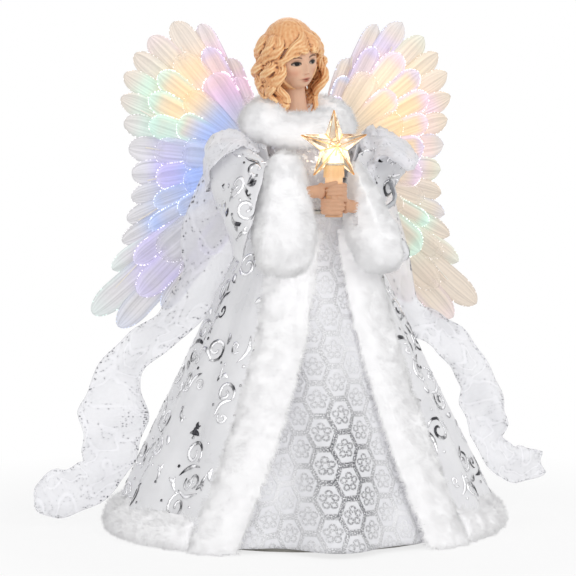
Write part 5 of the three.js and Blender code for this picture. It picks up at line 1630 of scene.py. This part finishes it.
for clump in range(LONG_CLUMPS):
    middle = mix(FIRST_RIGHT + 0.12, TURN - FIRST_LEFT - 0.12, clump / (LONG_CLUMPS - 1))
    tuck = SIDE_TUCK if clump in SIDE_CLUMPS else BACK_TUCK
    hang_clump(middle, 5, 0.4, rng.uniform(*LONG_ENDS), tuck, 2.2)
for clump in range(TOP_CLUMPS):
    middle = mix(FIRST_RIGHT + 0.3, TURN - FIRST_LEFT - 0.3, clump / (TOP_CLUMPS - 1))
    hang_clump(middle, 3, 1.9, rng.uniform(*TOP_ENDS), 0.0, 2.0)
for side, reach in ((-1, FIRST_LEFT), (1, FIRST_RIGHT)):
    for row in range(FRINGE_ROWS):
        share = row / (FRINGE_ROWS - 1)
        line = fringe_line(
            PARTING + 0.03 * side, side * mix(0.5, reach + 0.25, share), mix(0.34, 0.95, share),
            mix(0.13, -0.3, share ** 1.5), mix(-0.2, 0.9, share))
        waved_lock(
            hair_bm, line, rng.uniform(1.8, 2.2), rng.uniform(0.7, 1.1), 0.5 * row + rng.uniform(0, 0.6),
            rng.uniform(1.5, 2.2))
hair, hair_bm = fuse(hair_bm, "cast_hair", hair_paint, HAIR_VOXEL, 1, ("hair",))
kept = [vert.co.copy() for vert in hair_bm.verts]
normals = [vert.normal.copy() for vert in hair_bm.verts]
relax(hair_bm, HOLLOW_ROUNDS)
depths = [(place - vert.co).dot(normal) / MM for place, vert, normal in zip(kept, hair_bm.verts, normals)]
for vert, place in zip(hair_bm.verts, kept):
    vert.co = place
take_back(hair, hair_bm)
# The painted shade and highlight are kept on the points: below 0.5 in the hollows, above it on the raised locks.
relief_shading = hair.data.attributes.new("hollow_shade_and_ridge_light", "FLOAT", "POINT")
for value, depth in zip(relief_shading.data, depths):
    value.value = clamp(0.5 + HOLLOW_DEPTH * depth)
hair.data.transform(HEAD_PLACE)
print("hair locks fused,", len(hair.data.vertices), "points")

# %% [markdown]
# ## Hands
# Both hands close round the stem, the left above the right. A palm, four fingers bent round the stem, a
# thumb and a wrist are fused in the same way as the head.

# %% Hands
LAMP_AXIS = Vector((1.0, -64.0, 0.0))
STEM_RADIUS = 5.5
GRIP = STEM_RADIUS + 1.5
FINGER_SPREADS = (2.6, 2.8, 2.7, 2.3)
KNUCKLE_TURN = -1.9
FINGER_TOP, FINGER_PITCH = 3.6, 2.5
FINGER_STEPS, THUMB_STEPS, WRIST_STEPS = 12, 8, 8
PALM_HALF = (2.9, 5.2, 5.2)
THUMB_RADII, WRIST_RADII = (1.7, 1.25), (4.2, 3.6)
HAND_VOXEL, HAND_ROUNDS = 0.4 * MM, 3
HAND_TONE = (208, 163, 132)


def ring_place(turn, radius, z):
    return (LAMP_AXIS + Vector((radius * math.sin(turn), -radius * math.cos(turn), z))) * MM


def taper(radii, steps):
    return [mix(*radii, step / steps) * MM for step in range(steps + 1)]


def round_end(bm, place, radius):
    bmesh.ops.create_icosphere(bm, subdivisions=2, radius=radius, matrix=Matrix.Translation(place))


def make_hand(name, node, side, z, wrist_end):
    bm = bmesh.new()
    for finger, spread in enumerate(FINGER_SPREADS):
        height = z + FINGER_TOP - FINGER_PITCH * finger
        points, radii = [], []
        for step in range(FINGER_STEPS + 1):
            share = step / FINGER_STEPS
            turn = side * mix(KNUCKLE_TURN, KNUCKLE_TURN + spread, share)
            points.append(ring_place(turn, GRIP - 0.25 * share, height - 0.4 * step / FINGER_STEPS))
            radii.append((1.5 - 0.35 * share ** 2) * MM)
        tube(bm, points, radii)
        round_end(bm, points[-1], radii[-1])
    palm = ring_place(side * 1.75, GRIP + 0.9, z) / MM
    ball(bm, palm, PALM_HALF)
    shares = [step / THUMB_STEPS for step in range(THUMB_STEPS + 1)]
    thumb = [
        ring_place(side * mix(1.5, 0.1, share), GRIP + 0.7, z + mix(2.6, 5.6, share)) for share in shares]
    tube(bm, thumb, taper(THUMB_RADII, THUMB_STEPS))
    round_end(bm, thumb[-1], THUMB_RADII[1] * MM)
    wrist = [palm.lerp(Vector(wrist_end), step / WRIST_STEPS) * MM for step in range(WRIST_STEPS + 1)]
    tube(bm, wrist, taper(WRIST_RADII, WRIST_STEPS), 14)
    piece, bm = fuse(bm, name, skin, HAND_VOXEL, HAND_ROUNDS, (node,))
    take_back(piece, bm)
    for value in piece.data.attributes.new("paint", "FLOAT_COLOR", "POINT").data:
        value.color = tint(*HAND_TONE)


make_hand("left_hand", "hand_left", -1, 220.6, (-27.0, -57.5, 218.0))
make_hand("right_hand", "hand_right", 1, 211.4, (29.0, -56.5, 208.0))

# %% [markdown]
# ## Star lamp
# A clear moulded star on a glowing stem. Five long points with a ridge down each are one ring of ten points,
# poked in the middle and mirrored, with its edges rounded off. The bulb is inside, so the warm light is
# strongest at the heart and fades along the arms.

# %% Lamp finishes
STAR_CENTRE = Vector((1.0, -64.0, 248.5)) * MM
STAR_GLOW, STEM_GLOW, BULB_GLOW = 0.4, 0.35, 1.2
STEM_SHADE_TO_LIGHT, STEM_LIT = (205 * MM, 240 * MM), (213 * MM, 222 * MM)

clear_star, tree, shader = new_finish("clear_star", Roughness=0.04, Transmission_Weight=1.0, IOR=1.45)
from_heart = add_node(
    tree, "VectorMath", {0: object_place(tree), 1: tuple(STAR_CENTRE)}, operation="DISTANCE").outputs["Value"]
heat = remap(tree, from_heart, 3 * MM, 12 * MM, 0.85, 0.0)
ridge = attribute(tree, "ridge")
hot = calc(tree, "MAXIMUM", heat, calc(tree, "MULTIPLY", ridge, 0.25))
warmth = blend_colours(tree, heat, tint(240, 176, 104), tint(255, 242, 218))
swirl = use_group(tree, mottle_group, object_place(tree), 90.0)
feed(
    tree, shader, Base_Color=blend_colours(tree, ridge, tint(255, 246, 228), tint(226, 160, 92)),
    Emission_Color=vector_calc(tree, "MULTIPLY", warmth, hot), Emission_Strength=STAR_GLOW,
    Normal=bump(tree, swirl["Height"], 0.06))

warm_stem, tree, shader = new_finish("glowing_stem", Roughness=0.3, Coat_Weight=0.3)
height = add_node(tree, "SeparateXYZ", {0: object_place(tree)}).outputs["Z"]
streak = use_group(tree, mottle_group, object_place(tree), 150.0)
# The stem's colour is a painted shade towards its foot, between and under the hands. It is paler near the star,
# where the star's light falls. Its glow fades out below the upper hand.
top_share = calc(tree, "MULTIPLY", remap(tree, height, *STEM_SHADE_TO_LIGHT), 0.7)
stem_share = calc(tree, "MULTIPLY_ADD", streak["Tone"], 0.4, top_share)
stem_colour = blend_colours(tree, stem_share, tint(198, 142, 106), tint(250, 216, 164))
stem_light = blend_colours(tree, remap(tree, height, *STEM_LIT), tint(40, 26, 16), stem_colour)
feed(tree, shader, Base_Color=stem_colour, Emission_Color=stem_light, Emission_Strength=STEM_GLOW)

bulb_glow, tree, shader = new_finish("warm_bulb", Roughness=0.2, Emission_Strength=BULB_GLOW)
core = use_group(tree, mottle_group, object_place(tree), 300.0)
bulb_colour = blend_colours(tree, core["Tone"], tint(255, 230, 186), tint(255, 250, 238))
feed(tree, shader, Base_Color=bulb_colour, Emission_Color=bulb_colour)
print("finishes", clear_star.name, warm_stem.name, bulb_glow.name)

# %% Star
STAR_TIP, STAR_NOTCH, STAR_DEPTH = 24.0, 9.5, 8.0
STAR_POINTS = 10
STAR_MERGE = 0.05 * MM
STAR_BEVEL = 0.5 * MM
NECK_TOP = -4.5 * MM
NECK_LOW, NECK_HIGH, NECK_SEGMENTS = 6.6 * MM, 6.2 * MM, 40

star_bm = bmesh.new()
ring = bmesh.ops.create_circle(star_bm, cap_ends=True, segments=STAR_POINTS, radius=1.0)["verts"]
for vert in ring:
    turn = math.atan2(vert.co.y, vert.co.x) - math.pi / 2
    on_tip = round(turn / (TURN / STAR_POINTS)) % 2 == 0
    radius = (STAR_TIP if on_tip else STAR_NOTCH) * MM
    vert.co = Vector((-radius * math.sin(turn), 0.0, radius * math.cos(turn)))
heart = bmesh.ops.poke(star_bm, faces=star_bm.faces)["verts"][0]
heart.co = Vector((0.0, -STAR_DEPTH * MM, 0.0))
bmesh.ops.mirror(
    star_bm, geom=star_bm.verts[:] + star_bm.edges[:] + star_bm.faces[:], axis="Y", merge_dist=STAR_MERGE)
bmesh.ops.remove_doubles(star_bm, verts=star_bm.verts, dist=STAR_MERGE)
bmesh.ops.recalc_face_normals(star_bm, faces=star_bm.faces)
rounded = set(bmesh.ops.bevel(
    star_bm, geom=star_bm.edges, offset=STAR_BEVEL, affect="EDGES", segments=2, profile=0.5,
    material=-1)["faces"])
neck_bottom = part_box("star_cap")[0].z - STAR_CENTRE.z
bmesh.ops.create_cone(
    star_bm, cap_ends=False, segments=NECK_SEGMENTS, radius1=NECK_LOW, radius2=NECK_HIGH,
    depth=NECK_TOP - neck_bottom, matrix=Matrix.Translation((0, 0, (neck_bottom + NECK_TOP) / 2)))
ridge_layer = star_bm.loops.layers.float_color.new("ridge")
for face in star_bm.faces:
    share = 1.0 if face in rounded else 0.0
    for loop in face.loops:
        loop[ridge_layer] = (share, share, share, 1.0)
bmesh.ops.translate(star_bm, verts=star_bm.verts, vec=STAR_CENTRE)
star = make_piece("clear_star", star_bm, clear_star, "star_cover", ("star_cap",))
for polygon in star.data.polygons:
    polygon.use_smooth = False

# %% [markdown]
# ## Sheer scarf
# A long sheer scarf lies over the shoulders, and its wired tails stand out to both sides in loose turns. It is
# organza with a lace figure and glitter along its edges. A tail is a grid led along a route. The map follows its
# length and width, so the lace and the glitter follow too.

# %% Organza finish
# The organza glows a little in its own colour. This is painted light, standing in for light that comes through the
# sheer cloth from the lit wings behind it.
ORGANZA_PAINTED_GLOW = 0.16

organza, tree, shader = new_finish(
    "sheer_organza", Roughness=0.4, Sheen_Weight=0.3, Emission_Strength=ORGANZA_PAINTED_GLOW)
run = add_node(tree, "UVMap", uv_map="run").outputs[0]
scroll = add_node(
    tree, "TexNoise", {"Vector": run, "Scale": 0.06, "Detail": 0.5, "Distortion": 0.8}).outputs[0]
scroll = calc(tree, "ABSOLUTE", calc(tree, "SUBTRACT", scroll, 0.5))
lace_line = remap(tree, scroll, 0.06, 0.02)
lace_edge = calc(tree, "MULTIPLY", calc(tree, "COMPARE", scroll, 0.065, 0.022), 0.75)
speck = add_node(tree, "TexVoronoi", {"Vector": run, "Scale": 0.7, "Randomness": 0.85}).outputs
speck_some = add_node(tree, "SeparateColor", {0: speck["Color"]}).outputs[0]
speck_dot = calc(
    tree, "MULTIPLY", remap(tree, speck["Distance"], 0.4, 0.28), calc(tree, "GREATER_THAN", speck_some, 0.3))
edge_share = calc(tree, "MAXIMUM", attribute(tree, "selvedge"), lace_edge)
glitter_edge = calc(tree, "MULTIPLY", edge_share, speck_dot)
threads = use_group(tree, weave_group, run, 8.0)
cover = calc(tree, "MULTIPLY_ADD", glitter_edge, 0.55, calc(tree, "MULTIPLY_ADD", lace_line, 0.03, 0.4))
cover = calc(tree, "MULTIPLY_ADD", attribute(tree, "gather"), 0.25, cover)
cover = calc(tree, "MINIMUM", cover, 0.96)
pale = blend_colours(tree, lace_line, tint(230, 230, 234), tint(236, 236, 240))
organza_colour = blend_colours(tree, glitter_edge, pale, tint(96, 96, 102))
relief = calc(tree, "MULTIPLY_ADD", lace_line, 0.15, threads["Height"])
feed(
    tree, shader, Base_Color=organza_colour, Emission_Color=organza_colour,
    Metallic=calc(tree, "MULTIPLY", glitter_edge, 0.4),
    Alpha=calc(tree, "MULTIPLY_ADD", threads["Tone"], 0.08, cover), Normal=bump(tree, relief, 0.3))
print("finish", organza.name)

# %% Scarf tails
TAIL_STEPS, TAIL_COLUMNS = 170, 18
ROUTE_STEPS, LOOK_AHEAD = 60, 0.03
MAP_HALF_WIDTH = 16
TAIL_END = 0.975
TAIL_CLOTH = 0.2 * MM
TAILS = {
    "left": (
        ((-44, 14, 236), (-55, 24, 196), (-61, 26, 160), (-83, 24, 132), (-104, 24, 116), (-118, 24, 97),
         (-121, 24, 74), (-124, 26, 52), (-130, 28, 34), (-147, 30, 24), (-163, 30, 22), (-172, 30, 23)),
        (26, 40, 30, 25, 25, 31, 44, 36, 31, 31, 29, 15)),
    "right": (
        ((45, 14, 236), (58, 22, 190), (74, 20, 138), (92, 18, 125), (109, 16, 111), (121, 16, 94),
         (126, 15, 77), (129, 15, 60), (134, 16, 44), (146, 17, 33), (159, 17, 31), (170, 17, 33)),
        (26, 30, 21, 22, 24, 24, 28, 27, 21, 24, 24, 15)),
}


def along_list(values, share):
    """A smooth curve through a list of places or widths."""
    spot = share * (len(values) - 1)
    low = min(int(spot), len(values) - 2)
    t = spot - low
    before, after = values[max(0, low - 1)], values[min(len(values) - 1, low + 2)]
    a, b = values[low], values[low + 1]
    return 0.5 * (2 * a + (b - before) * t + (2 * before - 5 * a + 4 * b - after) * t * t
                  + (3 * a - before - 3 * b + after) * t ** 3)


def tail_point(route, widths, share, aside):
    behind = along_list(route, max(0.0, share - LOOK_AHEAD))
    ahead = (along_list(route, min(1.0, share + LOOK_AHEAD)) - behind).normalized()
    across = ahead.cross(Vector((0, -1, 0))).normalized()
    through = across.cross(ahead)
    half_width = along_list(widths, share) / 2
    ripple = 3.2 * math.sin(17 * share + 2.4 * aside) + 1.5 * math.sin(37 * share - 3.1 * aside)
    ripple += 3.4 * rough((share * 10, aside * 1.1, 0), 1.0, 4.0)
    scallop = 1 + 0.05 * math.sin(60 * share) * aside * aside
    sideways = across * aside * half_width * scallop
    return (along_list(route, share) + sideways + through * ripple * min(1.0, 5 * share)) * MM


def make_tail(side):
    points, widths = TAILS[side]
    route = [Vector(point) for point in points]
    walk = [along_list(route, step / ROUTE_STEPS) for step in range(ROUTE_STEPS + 1)]
    length = sum((after - before).length for before, after in zip(walk, walk[1:]))
    bm = bmesh.new()
    run_map = bm.loops.layers.uv.new("run")
    selvedge = bm.verts.layers.float.new("selvedge")
    made = bmesh.ops.create_grid(bm, x_segments=TAIL_STEPS, y_segments=TAIL_COLUMNS, size=1.0)["verts"]
    for face in bm.faces:
        for loop in face.loops:
            loop[run_map].uv = ((loop.vert.co.x + 1) / 2 * length, loop.vert.co.y * MAP_HALF_WIDTH)
    for vert in made:
        share, aside = (vert.co.x + 1) / 2, vert.co.y
        vert[selvedge] = ease(0.74, 0.9, abs(aside)) if share < TAIL_END else 1.0
        vert.co = tail_point(route, widths, share, aside)
    bmesh.ops.recalc_face_normals(bm, faces=bm.faces)
    piece = make_piece("scarf_ribbon_" + side, bm, organza, stands_for=("scarf_tail_" + side,))
    give_thickness(piece, TAIL_CLOTH)


for side in TAILS:
    make_tail(side)

# %% Scarf over the shoulders
FOLDS, FOLD_DEPTH, FOLD_SWAY, CRUMPLE = 11, 2.1, 2.5, 1.2
INNER_GLITTER = 0.45
DRAPE_CLOTH = 0.25 * MM
DRAPE_EDGE = (Vector((-50.0, -10.0, 231.0)), Vector((-0.76, 0.6, 1.0)))


def organza_copy(name, node, lift, seed, knot, edge=None, stands_for=()):
    """A gathered cover for a shoulder: its folds run out from the knot where it is tied."""
    side = math.copysign(1.0, knot.x)

    def folds(vert):
        away = vert.co / MM - knot
        turn = math.atan2(side * away.x - away.y, 4.0 - away.z)
        sway = FOLD_SWAY * rough(vert.co, 12 * MM, seed)
        crumple = CRUMPLE * rough(vert.co, 7 * MM, seed + 2)
        return (lift + FOLD_DEPTH * math.cos(FOLDS * turn + sway) + crumple) * MM

    bm = copy_solid(node)
    if edge:
        bmesh.ops.bisect_plane(
            bm, geom=bm.verts[:] + bm.edges[:] + bm.faces[:], dist=SAME_POINT, plane_co=edge[0] * MM,
            plane_no=edge[1], clear_inner=True)
    swell(bm, folds)
    run_map = bm.loops.layers.uv.new("run")
    selvedge = bm.verts.layers.float.new("selvedge")
    gather_layer = bm.verts.layers.float.new("gather")
    for vert in bm.verts:
        vert[selvedge] = 1.0 if vert.is_boundary else INNER_GLITTER
        vert[gather_layer] = 1.0
    for face in bm.faces:
        for loop in face.loops:
            place = loop.vert.co / MM
            loop[run_map].uv = (place.x + side * place.y, place.z)
    return make_piece(name, bm, organza, stands_for=stands_for)


puff = organza_copy(
    "scarf_shoulder_right", "scarf_puff", 1.2, 31.0, Vector((40.0, -8.0, 254.0)), stands_for=("scarf_puff",))
drape = organza_copy(
    "scarf_shoulder_left", "sleeve_left", 3.0, 33.0, Vector((-42.0, -6.0, 254.0)), DRAPE_EDGE)
give_thickness(drape, DRAPE_CLOTH)

# %% [markdown]
# ## Bodice and what is inside
# The bodice is a silver cloth that glitters in the lamp's light. Under the dress are the card cone, the
# socket, the battery box and the wing bracket. Their solids are right as they are, so they only get
# finishes: each is a base colour with its own mottle, roughness and grain.

silver_cloth, tree, shader = new_finish("silver_cloth", Sheen_Weight=0.2)
sequins = add_node(tree, "TexVoronoi", {"Vector": object_place(tree), "Scale": 620.0}).outputs
shine = remap(tree, add_node(tree, "SeparateColor", {0: sequins["Color"]}).outputs[0], 0.45, 0.95)
feed(
    tree, shader, Base_Color=blend_colours(tree, shine, tint(206, 200, 200), tint(250, 246, 242)),
    Metallic=calc(tree, "MULTIPLY", shine, 0.8), Roughness=calc(tree, "MULTIPLY_ADD", shine, -0.3, 0.55),
    Normal=bump(tree, sequins["Distance"], 0.5, 0.4 * MM))
bodice_piece, _, _ = soft_copy(
    "silver_bodice", "bodice", silver_cloth, yoke_wrinkle, 15.0,
    run_up(226.0, 239.3, -0.12, -0.14))


# %% Plain finishes
def plain_finish(name, low, high, roughness, scale, relief=0.1, metallic=0.0):
    material, tree, shader = new_finish(name, Metallic=metallic)
    grain = use_group(tree, mottle_group, object_place(tree), scale)
    feed(
        tree, shader, Base_Color=blend_colours(tree, grain["Tone"], tint(*low), tint(*high)),
        Roughness=calc(tree, "MULTIPLY_ADD", grain["Tone"], 0.2, roughness - 0.1),
        Normal=bump(tree, grain["Height"], relief))
    return material


FINISHES = {
    "card": plain_finish("stiff_card", (214, 210, 200), (240, 238, 230), 0.75, 90.0, 0.2),
    "white_plastic": plain_finish("white_moulding", (226, 226, 224), (244, 244, 242), 0.42, 60.0),
    "cell_label": plain_finish("cell_sleeve", (48, 62, 88), (72, 88, 116), 0.35, 40.0),
    "steel": plain_finish("plated_steel", (168, 170, 174), (206, 208, 210), 0.3, 300.0, 0.12, 1.0),
    "board": plain_finish("green_laminate", (34, 92, 58), (52, 124, 80), 0.4, 200.0),
    "switch_black": plain_finish("black_moulding", (30, 30, 33), (48, 48, 52), 0.45, 150.0),
    "lamp_stem": warm_stem,
    "bulb": bulb_glow,
    "fibre": plain_finish("light_fibre", (232, 224, 210), (250, 246, 238), 0.25, 200.0),
}
slots = {entry["node"]: entry["material_slot"] for entry in frame["record"]["subparts"]}
in_view = {name: node for name, node in nodes.items() if not node.hide_render}
dressed = 0
for name, node in in_view.items():
    finish = FINISHES.get(slots.get(name))
    if finish:
        node.data.materials.clear()
        node.data.materials.append(finish)
        dressed += 1
print("finished", dressed, "of", len(in_view), "solids that stay in view")
